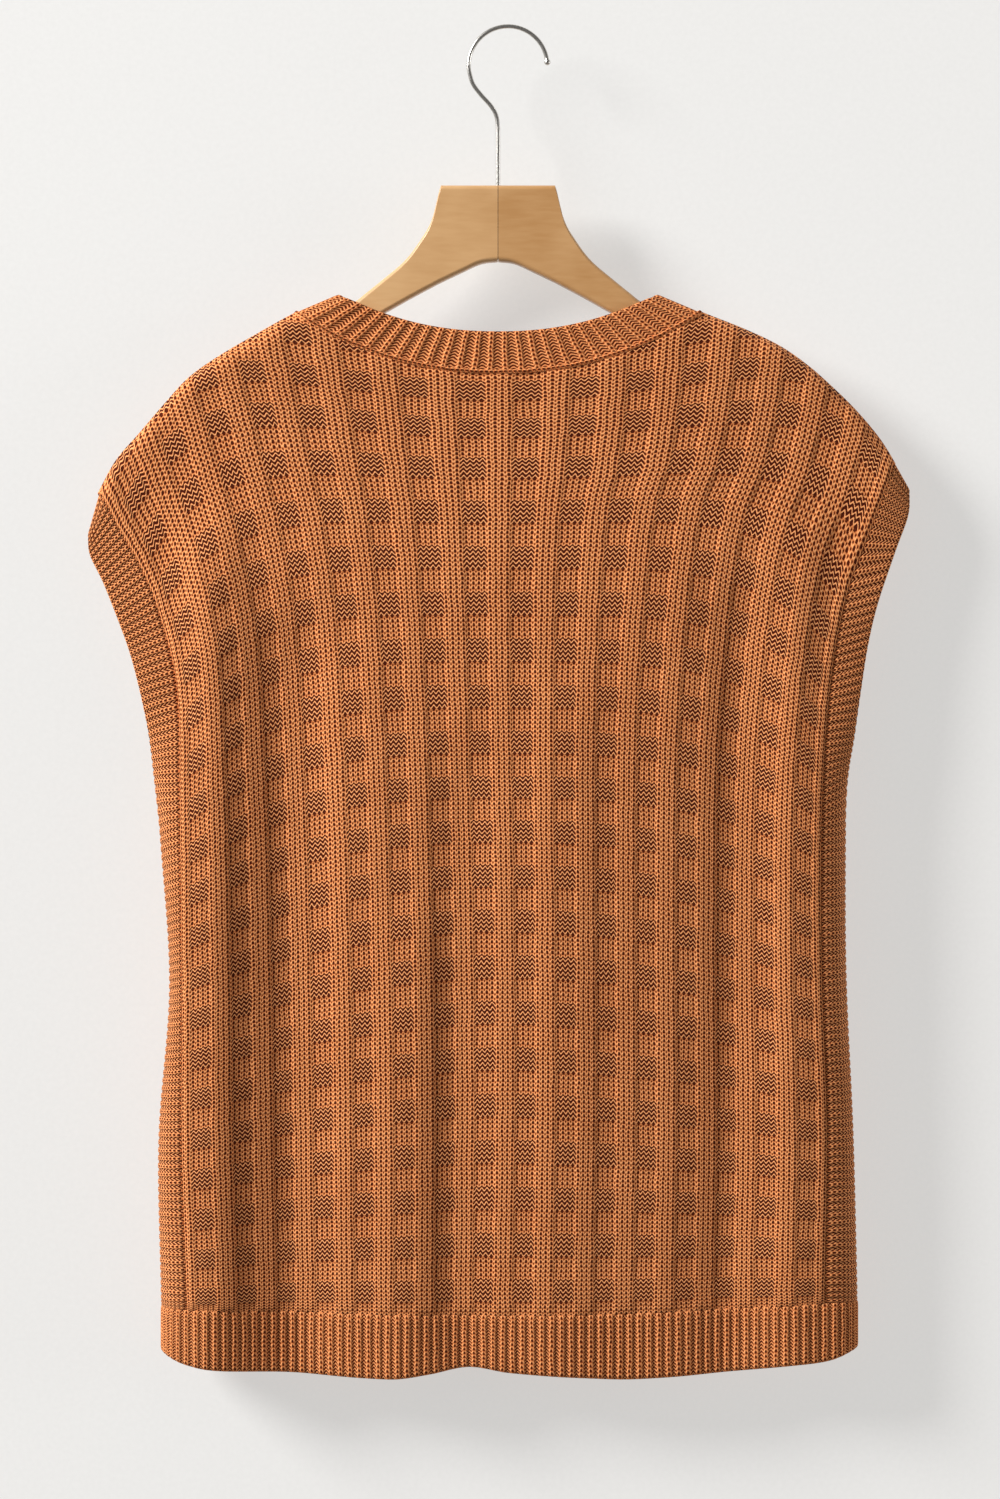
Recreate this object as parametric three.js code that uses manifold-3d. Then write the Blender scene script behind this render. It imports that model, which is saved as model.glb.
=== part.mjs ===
// Knitted sweater vest on a wooden hanger, in millimetres, +Z up.
// The back of the vest faces -Y. The origin is the inner crown of the hanger's hook.
// The cloth is a wall with a plain inside and a raised outside: wide knit strips and reverse
// stitch blocks on the panels, 1x1 ribs on the neckband, the side bands and the hems.
import * as THREE from 'three';
import Module from 'manifold-3d';

const wasm = await Module();
wasm.setup();

// Wall and relief.
const WALL = 2.0;
const STRIP_RELIEF = 0.85;
const BLOCK_RELIEF = 0.45;
const RIB_RELIEF = 0.75;
const HALF_GAP = 0.15;

// Stitch pattern of a panel: 16 columns of blocks, 21 to 22 rows of blocks.
const COLUMNS = 16;
const VALLEY_HALF = 0.2;
const FIRST_ROW = -0.56;
const LAST_ROW = 21.5;

// Neck opening: seam and free edge of the neckband, back and front.
const NECK_SEAM_HALF = 121;
const NECK_EDGE_HALF = 95;
const NECK_POWER = 2.2;
const NECK_SEAM_SIDE_Z = -171;
const NECK_EDGE_SIDE_Z = -160;
const NECK_BACK = { seamZ: -206.7, edgeZ: -182.7, ribs: 28, fineColumns: 2 };
const NECK_FRONT = { seamZ: -268, edgeZ: -244, ribs: 38, fineColumns: 3 };

// Rib counts along a side band, from the hem to the shoulder, and across a hem.
const BAND_RIBS_PER_ROW_LOW = 4.6;
const BAND_RIBS_PER_ROW_HIGH = 4.0;
const UNDERARM_ROW = 11.7;
const HEM_RIBS = 66;

// Hanger.
const WOOD_HALF_THICKNESS = 6;
const WOOD_EDGE_ROUND = 2;
const ARM_HALF_LENGTH = 185;
const ARM_CLEARANCE = 1.3;
const JOINT_HALF_GAP = 0.15;
const WIRE_RADIUS = 1.3;
const HOOK_RADIUS = 23.6;
const HOOK_SIDE_STEP = 6;
const STEM_END_Z = -138.5;
const HOOK_TIP_RADIUS = 1.9;

// Each row of stitches: its height in the middle and at both panel edges, how sharply it
// droops there, its lift beside the neck, the panel edges and how far the columns crowd outward.
const ROWS = [
  { row: -0.56, zMid: -770.1, zLeft: -766.5, zRight: -763, bow: 2.0, lift: 0, xLeft: -185.4, xMid: 3, xRight: 195, crowd: 0 },
  { row: 0, zMid: -755.5, zLeft: -759.3, zRight: -753.5, bow: 1.6, lift: 0, xLeft: -185.4, xMid: 3, xRight: 195, crowd: 0 },
  { row: 4, zMid: -644.7, zLeft: -666.3, zRight: -661, bow: 1.6, lift: 0, xLeft: -188.4, xMid: 4.5, xRight: 196.2, crowd: 0 },
  { row: 8, zMid: -534.9, zLeft: -572, zRight: -565.5, bow: 2.0, lift: 0, xLeft: -188.4, xMid: 4, xRight: 193.2, crowd: 0.02 },
  { row: 12, zMid: -428.7, zLeft: -473.7, zRight: -469, bow: 3.0, lift: 0, xLeft: -189.6, xMid: 2, xRight: 193.2, crowd: 0.05 },
  { row: 15, zMid: -345.9, zLeft: -393.3, zRight: -394.5, bow: 3.6, lift: 1, xLeft: -192, xMid: 0.6, xRight: 198.6, crowd: 0.1 },
  { row: 17, zMid: -291.3, zLeft: -344.7, zRight: -339.5, bow: 4.0, lift: 5, xLeft: -204.6, xMid: 0.6, xRight: 208.8, crowd: 0.13 },
  { row: 18, zMid: -264.9, zLeft: -321.3, zRight: -299.1, bow: 4.5, lift: 8, xLeft: -214.8, xMid: 0.6, xRight: 223.8, crowd: 0.15 },
  { row: 19, zMid: -240.9, zLeft: -301.5, zRight: -271.5, bow: 4.8, lift: 14, xLeft: -226.2, xMid: 0.6, xRight: 234, crowd: 0.15 },
  { row: 20, zMid: -218.7, zLeft: -281.7, zRight: -251.7, bow: 5.0, lift: 18, xLeft: -236.4, xMid: 0.6, xRight: 239.4, crowd: 0.15 },
  { row: 21.5, zMid: -183.9, zLeft: -252, zRight: -223, bow: 5.0, lift: 22, xLeft: -250, xMid: 0.6, xRight: 246, crowd: 0.15 },
];

// Free edge of each side band against the same rows: place, half width of the opening, and how
// squarely the band turns round the garment's side (below the underarm it closes on the front's).
const BAND_EDGE = [
  { row: -0.56, xLeft: -201.6, zLeft: -766, xRight: 215.4, zRight: -763, open: 0, square: 0.8 },
  { row: 0, xLeft: -202, zLeft: -759.5, xRight: 215.4, zRight: -753.5, open: 0, square: 0.8 },
  { row: 4, xLeft: -203.4, zLeft: -666.3, xRight: 213, zRight: -661, open: 0, square: 0.8 },
  { row: 8, xLeft: -196.8, zLeft: -573, xRight: 208.8, zRight: -566, open: 0, square: 0.8 },
  { row: 11.7, xLeft: -202.8, zLeft: -483, xRight: 208.6, zRight: -478, open: 0, square: 0.7 },
  { row: 12.6, xLeft: -205.5, zLeft: -455, xRight: 209.6, zRight: -450, open: 5, square: 0.55 },
  { row: 14, xLeft: -209.5, zLeft: -422, xRight: 213.6, zRight: -424, open: 9, square: 0.4 },
  { row: 15, xLeft: -214.8, zLeft: -396, xRight: 217.2, zRight: -398, open: 10, square: 0.3 },
  { row: 16, xLeft: -220.8, zLeft: -373.5, xRight: 221.4, zRight: -371, open: 9, square: 0.2 },
  { row: 17, xLeft: -228, zLeft: -353.5, xRight: 227.5, zRight: -345, open: 8, square: 0.1 },
  { row: 18, xLeft: -236.5, zLeft: -332.5, xRight: 238, zRight: -314, open: 6, square: 0 },
  { row: 19, xLeft: -244.8, zLeft: -315.5, xRight: 246, zRight: -292, open: 4, square: 0 },
  { row: 20, xLeft: -246, zLeft: -304.5, xRight: 247, zRight: -277, open: 2, square: 0 },
];

// Fold line along the shoulders where back meets front, by distance from the middle.
const SHOULDER = [
  { out: 0, left: -118, right: -118 },
  { out: 60, left: -143, right: -143 },
  { out: 95, left: -160, right: -160 },
  { out: 121, left: -171.2, right: -170.6 },
  { out: 150, left: -187.3, right: -182.2 },
  { out: 170, left: -199.3, right: -192 },
  { out: 186, left: -211, right: -203.2 },
  { out: 200, left: -226.3, right: -215.5 },
  { out: 215, left: -243.8, right: -230.2 },
  { out: 229, left: -260, right: -246.8 },
  { out: 238, left: -276, right: -261 },
  { out: 250, left: -300, right: -284 },
];

// Half depth of the hanging vest by height: at the panel edges and in the middle.
const DEPTH = [
  { z: -820, left: 15, right: 13, mid: 17 },
  { z: -770, left: 17, right: 15, mid: 19 },
  { z: -660, left: 19, right: 17, mid: 22 },
  { z: -540, left: 20, right: 18, mid: 24 },
  { z: -470, left: 18, right: 17, mid: 24 },
  { z: -400, left: 14, right: 14, mid: 22 },
  { z: -340, left: 10.5, right: 10.5, mid: 19 },
  { z: -300, left: 8.5, right: 8.5, mid: 16 },
  { z: -250, left: 7.5, right: 7.5, mid: 12.5 },
  { z: -200, left: 8.6, right: 8.6, mid: 10.4 },
  { z: -160, left: 8.8, right: 8.8, mid: 9.6 },
];
const SHOULDER_ROUND = 9;

// Main folds of back and front: crests (+) and troughs (-) running down the cloth.
const BACK_FOLDS = [
  { x: -163, lean: 0.0, low: -790, high: -380, width: 26, rise: 3.2 },
  { x: -112, lean: 0.0, low: -790, high: -390, width: 22, rise: -2.6 },
  { x: -58, lean: 0.02, low: -820, high: -560, width: 17, rise: 2.0 },
  { x: -22, lean: 0.0, low: -820, high: -470, width: 15, rise: -1.8 },
  { x: 38, lean: 0.0, low: -820, high: -430, width: 24, rise: 2.0 },
  { x: 136, lean: 0.02, low: -760, high: -370, width: 20, rise: -3.4 },
  { x: 178, lean: 0.0, low: -790, high: -320, width: 17, rise: 2.4 },
  { x: -196, lean: -0.5, low: -400, high: -300, width: 11, rise: -2.6 },
];
const FRONT_FOLDS = [
  { x: -150, lean: 0.03, low: -820, high: -420, width: 22, rise: 2.6 },
  { x: -98, lean: 0.0, low: -820, high: -480, width: 20, rise: -2.2 },
  { x: -34, lean: -0.02, low: -820, high: -520, width: 22, rise: 2.2 },
  { x: 26, lean: 0.0, low: -820, high: -500, width: 19, rise: -1.8 },
  { x: 84, lean: 0.02, low: -820, high: -450, width: 21, rise: 2.4 },
  { x: 138, lean: 0.0, low: -790, high: -400, width: 19, rise: -2.6 },
  { x: 186, lean: 0.3, low: -420, high: -300, width: 12, rise: -2.2 },
];

// Lower edge of the hem across the vest.
const HEM_EDGE = [
  { x: -205, z: -791 },
  { x: -190, z: -798 },
  { x: -172, z: -802 },
  { x: -125, z: -804.5 },
  { x: -65, z: -807.8 },
  { x: -40, z: -805 },
  { x: -17, z: -801 },
  { x: 7, z: -804.3 },
  { x: 55, z: -807.3 },
  { x: 80, z: -808 },
  { x: 127, z: -805 },
  { x: 175, z: -800 },
  { x: 199, z: -797 },
  { x: 220, z: -789 },
];

const clamp = (v, low, high) => Math.min(high, Math.max(low, v));
const mix = (a, b, t) => a + (b - a) * t;
const smooth = (t) => t * t * (3 - 2 * t);

// Smooth value of one column of a table at a place along its key column.
function along(table, key, at, column) {
  const last = table.length - 1;
  let i = 0;
  while (i < last - 1 && (at - table[i + 1][key]) * Math.sign(table[last][key] - table[0][key]) > 0) {
    i += 1;
  }
  const slope = (j) => {
    const a = table[Math.max(j - 1, 0)];
    const b = table[Math.min(j + 1, last)];
    return (b[column] - a[column]) / (b[key] - a[key]);
  };
  const p = table[i];
  const q = table[i + 1];
  const span = q[key] - p[key];
  const t = (at - p[key]) / span;
  if (t < 0 || t > 1) {
    return t < 0 ? p[column] + slope(0) * (at - p[key]) : q[column] + slope(last) * (at - q[key]);
  }
  const h = t * t * (3 - 2 * t);
  const m0 = (t ** 3 - 2 * t * t + t) * span * slope(i);
  const m1 = (t ** 3 - t * t) * span * slope(i + 1);
  return mix(p[column], q[column], h) + m0 + m1;
}

// Front view of a panel: where column c (-8 to 8) and row q of the pattern lie.
function front(c, q) {
  const s = c / (COLUMNS / 2);
  const row = (column) => along(ROWS, 'row', q, column);
  const side = s < 0 ? row('xMid') - row('xLeft') : row('xRight') - row('xMid');
  const x = row('xMid') + side * s * (1 + row('crowd') * (1 - s * s));
  const droop = (s < 0 ? row('zLeft') : row('zRight')) - row('zMid');
  const z = row('zMid') + droop * Math.abs(s) ** row('bow') + row('lift') * 4 * s * s * (1 - s * s);
  return { x, z };
}

const shoulderZ = (x) => along(SHOULDER, 'out', Math.abs(x), x < 0 ? 'left' : 'right');

// Distance of a point of the cloth below the shoulder fold, square to the fold.
function belowShoulder(x, z) {
  const step = 2;
  const slope = (shoulderZ(x + step) - shoulderZ(x - step)) / (2 * step);
  return Math.max(0, shoulderZ(x) - z) / Math.hypot(1, slope);
}

// Turns the cloth over the shoulder: 0 on the fold, 1 from SHOULDER_ROUND below it.
const turnOver = (distance, radius) => Math.sqrt(1 - (1 - Math.min(distance / radius, 1)) ** 2);

function folds(list, x, z) {
  return list.reduce((sum, f) => {
    const middle = f.x + f.lean * (z - f.low);
    const fade = 60;
    const inside = smooth(clamp((z - f.low + fade) / fade, 0, 1)) * smooth(clamp((f.high + fade - z) / fade, 0, 1));
    return sum + f.rise * inside * Math.exp(-(((x - middle) / f.width) ** 2));
  }, 0);
}

// Half depth of the vest at a point of its front view.
function depth(x, z, list) {
  const edge = x < 0 ? along(DEPTH, 'z', z, 'left') : along(DEPTH, 'z', z, 'right');
  const half = 200;
  const flat = 1 - clamp(Math.abs(x) / half, 0, 1) ** 2.5;
  const body = mix(edge, along(DEPTH, 'z', z, 'mid'), flat) + folds(list, x, z);
  return Math.max(HALF_GAP, body * turnOver(belowShoulder(x, z), SHOULDER_ROUND));
}

// One side of the vest: the back lies at -Y, the front at +Y.
const SIDES = {
  back: { sign: -1, folds: BACK_FOLDS, neck: NECK_BACK },
  front: { sign: 1, folds: FRONT_FOLDS, neck: NECK_FRONT },
};

function clothPoint(side, c, q) {
  const { x, z } = front(c, q);
  return new THREE.Vector3(x, side.sign * depth(x, z, side.folds), z);
}

const neckSeamZ = (neck, x) =>
  mix(neck.seamZ, NECK_SEAM_SIDE_Z, clamp(Math.abs(x) / NECK_SEAM_HALF, 0, 1) ** NECK_POWER);

// Upper limit of a panel in column c: the neck seam, or the shoulder fold beyond it.
function topRow(side, c) {
  const above = (q) => {
    const { x, z } = front(c, q);
    return z - (Math.abs(x) < NECK_SEAM_HALF ? Math.min(neckSeamZ(side.neck, x), shoulderZ(x)) : shoulderZ(x));
  };
  let low = 13;
  let high = LAST_ROW + 1;
  for (let i = 0; i < 40; i += 1) {
    const middle = (low + high) / 2;
    if (above(middle) > 0) {
      high = middle;
    } else {
      low = middle;
    }
  }
  return low;
}

// Outward normal of the cloth at a point of its front view.
function clothNormal(side, x, z) {
  const step = 0.6;
  const at = (px, pz) => depth(px, pz, side.folds);
  const dx = (at(x + step, z) - at(x - step, z)) / (2 * step);
  const dz = (at(x, z + step) - at(x, z - step)) / (2 * step);
  return new THREE.Vector3(-dx, side.sign, -dz).normalize();
}

// Keeps a point on its own side of the plane where back and front meet.
function keepSide(side, p) {
  p.y = side.sign * Math.max(HALF_GAP, side.sign * p.y);
  return p;
}

// Height of the pattern above the plain cloth: strips between the columns, blocks inside them.
function panelRelief(c, q) {
  const off = Math.abs(c - (Math.floor(c) + 0.5));
  const strip = clamp((off - VALLEY_HALF) / (0.5 - VALLEY_HALF), 0, 1);
  const block = 0.5 + 0.5 * Math.cos(2 * Math.PI * q);
  return mix(BLOCK_RELIEF * block, STRIP_RELIEF, strip);
}

// A solid under construction: points, triangles, and lines of points with their places.
class Shell {
  constructor() {
    this.points = [];
    this.faces = [];
  }

  add(p, at) {
    this.points.push(p);
    return { id: this.points.length - 1, at };
  }

  face(a, b, c, flip) {
    this.faces.push(flip ? [a.id, c.id, b.id] : [a.id, b.id, c.id]);
  }

  // Fills between two lines that run the same way, b on the left of a.
  join(a, b, flip) {
    let i = 0;
    let j = 0;
    while (i < a.length - 1 || j < b.length - 1) {
      const goA = j === b.length - 1 || (i < a.length - 1 && a[i + 1].at <= b[j + 1].at);
      if (goA) {
        this.face(a[i], a[i + 1], b[j], flip);
        i += 1;
      } else {
        this.face(a[i], b[j + 1], b[j], flip);
        j += 1;
      }
    }
  }

  // Closes the rim between an outer and an inner patch.
  rim(outer, inner) {
    this.join(outer.bottom, inner.bottom, true);
    this.join(outer.right, inner.right, true);
    this.join(outer.top, inner.top, false);
    this.join(outer.left, inner.left, false);
  }

  geometry() {
    const volume = this.faces.reduce((sum, [a, b, c]) => {
      const normal = this.points[b].clone().cross(this.points[c]);
      return sum + this.points[a].dot(normal);
    }, 0);
    const g = new THREE.BufferGeometry();
    const flat = new Float32Array(this.points.flatMap((p) => [p.x, p.y, p.z]));
    g.setAttribute('position', new THREE.BufferAttribute(flat, 3));
    g.setIndex(this.faces.flatMap(([a, b, c]) => (volume > 0 ? [a, b, c] : [a, c, b])));
    return g;
  }
}

// Rows of the pattern that a column crosses, then the rows that follow the panel's top edge.
const EDGE_ROWS = [0.36, 0.17, 0.06, 0];
const COLUMN_GAP = 0.3 / 24;
const ROW_GAP = HALF_GAP / 27;
const TOP_GAP = 0.6 / 27;
function columnRows(side, c, rows) {
  const top = topRow(side, c) - TOP_GAP;
  const body = rows.filter((q) => q < top - EDGE_ROWS[0] - 0.12);
  return { body, cap: EDGE_ROWS.map((down) => top - down) };
}

function panelPatch(shell, side, columns, rows, lift, flip) {
  const lines = columns.map((column) => {
    const limit = COLUMNS / 2 - COLUMN_GAP;
    const c = clamp(column, -limit, limit);
    const { body, cap } = columnRows(side, c, rows);
    const put = (q) => {
      const place = Math.max(q, FIRST_ROW + ROW_GAP);
      const p = clothPoint(side, c, place);
      const n = clothNormal(side, p.x, p.z);
      return shell.add(keepSide(side, p.addScaledVector(n, lift(c, place))), place);
    };
    return { c, body: body.map(put), cap: cap.map(put) };
  });
  for (let i = 0; i < lines.length - 1; i += 1) {
    const a = lines[i];
    const b = lines[i + 1];
    shell.join([...b.body, b.cap[0]], [...a.body, a.cap[0]], flip);
    for (let j = 0; j < EDGE_ROWS.length - 1; j += 1) {
      shell.face(a.cap[j], b.cap[j], b.cap[j + 1], flip);
      shell.face(a.cap[j], b.cap[j + 1], a.cap[j + 1], flip);
    }
  }
  const first = lines[0];
  const last = lines[lines.length - 1];
  return {
    bottom: lines.map((l) => ({ id: l.body[0].id, at: l.c })),
    top: lines.map((l) => ({ id: l.cap[EDGE_ROWS.length - 1].id, at: l.c })),
    left: [...first.body, ...first.cap],
    right: [...last.body, ...last.cap],
  };
}

// Column in which the neck seam has come a share of its way to the shoulder fold.
function neckColumn(side, hand, share) {
  let low = 0;
  let high = COLUMNS / 2;
  for (let i = 0; i < 30; i += 1) {
    const c = (low + high) / 2;
    if (Math.abs(front(hand * c, topRow(side, hand * c)).x) < NECK_SEAM_HALF * share) {
      low = c;
    } else {
      high = c;
    }
  }
  return hand * low;
}

// Rows of the outside and of the plain inside, shared by panels and side bands at their seam.
const PATTERN_ROWS = [FIRST_ROW, ...Array.from({ length: 2 * LAST_ROW + 1 }, (_, i) => i / 2)];
const INSIDE_ROWS = [FIRST_ROW, 1, 3, 5, 7, 9, 11, 12, 13, 14, 15, 16, 17, 18, 19, 20, 21];

const cornerColumns = (side, shares) =>
  shares.flatMap((share) => [neckColumn(side, -1, share), neckColumn(side, 1, share)]);

// Columns of the plain inside, closer together at the neck.
function insideColumns(side) {
  const columns = cornerColumns(side, [1, 0.983, 0.94]);
  for (let c = -COLUMNS / 2; c <= COLUMNS / 2; c += 1) {
    columns.push(c);
    if (Math.abs(c + 0.5) < side.neck.fineColumns) {
      columns.push(c + 0.5);
    }
  }
  return columns.sort((a, b) => a - b);
}

function panel(side) {
  const shell = new Shell();
  const columns = [COLUMNS / 2, ...cornerColumns(side, [1, 0.965])];
  for (let c = -COLUMNS / 2; c < COLUMNS / 2; c += 1) {
    columns.push(c, c + 0.5 - VALLEY_HALF, c + 0.5 + VALLEY_HALF);
  }
  columns.sort((a, b) => a - b);
  const outer = panelPatch(shell, side, columns, PATTERN_ROWS, panelRelief, false);
  const inner = panelPatch(shell, side, insideColumns(side), INSIDE_ROWS, () => -WALL, true);
  shell.rim(outer, inner);
  return shell;
}

// A side band's surface: row along the panel's seam, across 0 at the seam to 1 at its free edge.
function bandPoint(side, hand, row, across) {
  const c = hand * (COLUMNS / 2);
  const a = clothPoint(side, c, row);
  const name = hand < 0 ? 'Left' : 'Right';
  const top = topRow(side, c);
  const end = BAND_EDGE[BAND_EDGE.length - 1];
  const q = FIRST_ROW + ((row - FIRST_ROW) * (end.row - FIRST_ROW)) / (top - FIRST_ROW);
  const edge = (column) => along(BAND_EDGE, 'row', q, column);
  const x = edge(`x${name}`);
  const z = edge(`z${name}`);
  const fromTop = Math.hypot(x - end[`x${name}`], z - end[`z${name}`]);
  const open = Math.max(HALF_GAP, edge('open') * turnOver(fromTop, SHOULDER_ROUND));
  const b = new THREE.Vector3(x, side.sign * open, z);
  if (row >= top) {
    a.y = 0;
    b.y = 0;
  }
  const turn = a.clone().lerp(b, 0.5).lerp(new THREE.Vector3(b.x, a.y, (a.z + b.z) / 2), edge('square'));
  return a.multiplyScalar((1 - across) ** 2)
    .addScaledVector(turn, 2 * across * (1 - across))
    .addScaledVector(b, across ** 2);
}

function bandNormal(side, hand, row, across) {
  const top = topRow(side, hand * (COLUMNS / 2));
  const at = Math.min(row, top - 0.05);
  if (across === 0) {
    const p = clothPoint(side, hand * (COLUMNS / 2), at);
    const n = clothNormal(side, p.x, p.z);
    return row >= top ? n.setY(0).normalize() : n;
  }
  const up = bandPoint(side, hand, at + 0.04, across).sub(bandPoint(side, hand, at - 0.04, across));
  const low = bandPoint(side, hand, at, across - 0.05);
  const out = bandPoint(side, hand, at, Math.min(1, across + 0.05)).sub(low);
  const n = out.cross(up).normalize();
  if (n.x * hand + n.y * side.sign * 0.5 < 0) {
    n.negate();
  }
  return row >= top ? n.setY(0).normalize() : n;
}

// Rows at which the band's ribs rise and fall, from the hem to the shoulder.
function ribRows(top) {
  const rows = [];
  let q = FIRST_ROW + ROW_GAP;
  while (q < top - 0.1) {
    rows.push(q);
    q += 0.5 / (q < UNDERARM_ROW ? BAND_RIBS_PER_ROW_LOW : BAND_RIBS_PER_ROW_HIGH);
  }
  return rows;
}

// A line of points along a band from the back hem over the shoulder to the front hem.
function bandLine(shell, hand, rows, across, lift) {
  const top = topRow(SIDES.back, hand * (COLUMNS / 2));
  const put = (side, row, i) => {
    const height = lift(i);
    const spread = across === 0 ? HALF_GAP / 26 : across;
    const n = bandNormal(side, hand, row, across);
    const p = bandPoint(side, hand, row, spread).addScaledVector(n, height);
    const closed = row < UNDERARM_ROW + 0.3;
    return shell.add(closed ? keepSide(side, p) : p, side.sign * (top - row));
  };
  return [
    ...rows.map((row, i) => put(SIDES.back, row, i)),
    put(SIDES.back, top, 0),
    ...rows.map((row, i) => put(SIDES.front, row, i)).reverse(),
  ];
}

function sideBand(hand) {
  const shell = new Shell();
  const top = topRow(SIDES.back, hand * (COLUMNS / 2));
  const rows = ribRows(top);
  const valleys = rows.filter((_, i) => i % 2 === 0);
  const seamRows = (list) => {
    const { body, cap } = columnRows(SIDES.back, hand * (COLUMNS / 2 - COLUMN_GAP), list);
    return [...body, ...cap.slice(0, -1)].map((q) => Math.max(q, FIRST_ROW + ROW_GAP));
  };
  const plain = seamRows(INSIDE_ROWS);
  const outer = [
    bandLine(shell, hand, seamRows(PATTERN_ROWS), 0, () => 0),
    bandLine(shell, hand, rows, 0.5, (i) => (i % 2 ? RIB_RELIEF : 0)),
    bandLine(shell, hand, valleys, 1, () => 0),
  ];
  const inner = [0, 0.5, 1].map((across) => bandLine(shell, hand, plain, across, () => -WALL));
  for (let k = 0; k < 2; k += 1) {
    shell.join(outer[k + 1], outer[k], false);
    shell.join(inner[k + 1], inner[k], true);
  }
  const ends = (lines, index) => lines.map((l, k) => ({ id: l.at(index).id, at: k }));
  shell.rim(
    { left: outer[0], right: outer[2], bottom: ends(outer, 0), top: ends(outer, -1) },
    { left: inner[0], right: inner[2], bottom: ends(inner, 0), top: ends(inner, -1) },
  );
  return shell;
}

// The line on which a hem hangs: side band, panel, side band.
function hemLine(side) {
  const points = [];
  const steps = 8;
  for (let i = steps; i > 0; i -= 1) {
    points.push(bandPoint(side, -1, FIRST_ROW, i / steps));
  }
  for (let c = -COLUMNS / 2; c <= COLUMNS / 2; c += 0.25) {
    points.push(clothPoint(side, c, FIRST_ROW));
  }
  for (let i = 1; i <= steps; i += 1) {
    points.push(bandPoint(side, 1, FIRST_ROW, i / steps));
  }
  return new THREE.CatmullRomCurve3(points, false, 'centripetal');
}

function hem(side) {
  const shell = new Shell();
  const line = hemLine(side);
  line.arcLengthDivisions = 600;
  const put = (t, down, lift) => {
    const p = line.getPointAt(t);
    const ahead = line.getTangentAt(t);
    const n = new THREE.Vector3(ahead.y, -ahead.x, 0).multiplyScalar(-side.sign).normalize();
    if (down === 1) {
      p.z = along(HEM_EDGE, 'x', p.x, 'z');
      p.y *= 0.93;
    } else {
      p.z -= HALF_GAP;
    }
    return shell.add(keepSide(side, p.addScaledVector(n, lift)), t);
  };
  const outer = [];
  for (let i = 0; i <= 2 * HEM_RIBS; i += 1) {
    const lift = i % 2 ? RIB_RELIEF : 0;
    outer.push([1, 0].map((down) => put(i / (2 * HEM_RIBS), down, lift)));
  }
  const inner = [];
  const insideSteps = 30;
  for (let i = 0; i <= insideSteps; i += 1) {
    inner.push([1, 0].map((down) => put(i / insideSteps, down, -WALL)));
  }
  const patch = (lines, flip) => {
    for (let i = 0; i < lines.length - 1; i += 1) {
      shell.face(lines[i][0], lines[i + 1][0], lines[i + 1][1], flip);
      shell.face(lines[i][0], lines[i + 1][1], lines[i][1], flip);
    }
    const edge = (k) => lines.map((l) => l[k]);
    return { bottom: edge(0), top: edge(1), left: lines[0], right: lines.at(-1) };
  };
  const sideways = (pair) => pair.map((p, k) => ({ id: p.id, at: k }));
  const out = patch(outer, false);
  const into = patch(inner, true);
  shell.rim(
    { ...out, left: sideways(out.left), right: sideways(out.right) },
    { ...into, left: sideways(into.left), right: sideways(into.right) },
  );
  return shell;
}

// The neckband's surface: u -1 to 1 from shoulder to shoulder, across 0 at the seam to 1.
function neckPoint(side, u, across) {
  const seam = { x: NECK_SEAM_HALF * u, z: neckSeamZ(side.neck, NECK_SEAM_HALF * u) };
  const edge = {
    x: NECK_EDGE_HALF * u,
    z: mix(side.neck.edgeZ, NECK_EDGE_SIDE_Z, Math.abs(u) ** NECK_POWER),
  };
  const x = mix(seam.x, edge.x, across);
  const z = mix(seam.z, edge.z, across);
  const y = Math.abs(u) === 1 ? 0 : side.sign * depth(x, z, side.folds);
  return new THREE.Vector3(x, y, z);
}

// Places u between the shoulders, evenly spaced along the middle of the band.
function neckPlaces(side, count) {
  const fine = 800;
  const reach = [0];
  const at = (i) => neckPoint(side, -1 + (2 * i) / fine, 0.5);
  for (let i = 1; i <= fine; i += 1) {
    reach.push(reach[i - 1] + at(i).distanceTo(at(i - 1)));
  }
  const places = [-1];
  for (let k = 1; k < count; k += 1) {
    const want = (reach[fine] * k) / count;
    places.push(-1 + (2 * reach.findIndex((r) => r >= want)) / fine);
  }
  return [...places, 1];
}

function neckband() {
  const shell = new Shell();
  const put = (side, u, across, lift) => {
    const gapAcross = across === 0 ? HALF_GAP / 26 : across;
    const p = neckPoint(side, u, gapAcross);
    const flat = clothNormal(side, p.x, Math.min(p.z, shoulderZ(p.x) - 0.3));
    const n = Math.abs(u) === 1 ? flat.setY(0).normalize() : flat;
    const turn = side.sign < 0 ? u + 1 : 3 - u;
    return shell.add(p.addScaledVector(n, lift), turn);
  };
  const ring = (backPlaces, frontPlaces, across, lift) => {
    const back = backPlaces.slice(0, -1).map((u, i) => put(SIDES.back, u, across, lift(i)));
    const around = [...frontPlaces].reverse().slice(0, -1);
    const frontLine = around.map((u, i) => put(SIDES.front, u, across, lift(i)));
    return [...back, ...frontLine, { id: back[0].id, at: 4 }];
  };
  const ribs = (side) => neckPlaces(side, 2 * side.neck.ribs);
  const seamPlaces = (side) => insideColumns(side)
    .map((c) => front(c, topRow(side, c)).x / NECK_SEAM_HALF)
    .filter((u) => Math.abs(u) < 0.995);
  const plain = (side) => [-1, ...seamPlaces(side), 1];
  const rib = (i) => (i % 2 ? RIB_RELIEF : 0);
  const outer = [0, 1].map((w) => ring(ribs(SIDES.back), ribs(SIDES.front), w, rib));
  const inner = [0, 1].map((w) => ring(plain(SIDES.back), plain(SIDES.front), w, () => -WALL));
  shell.join(outer[0], outer[1], false);
  shell.join(inner[0], inner[1], true);
  shell.join(outer[0], inner[0], true);
  shell.join(outer[1], inner[1], false);
  return shell;
}

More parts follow.
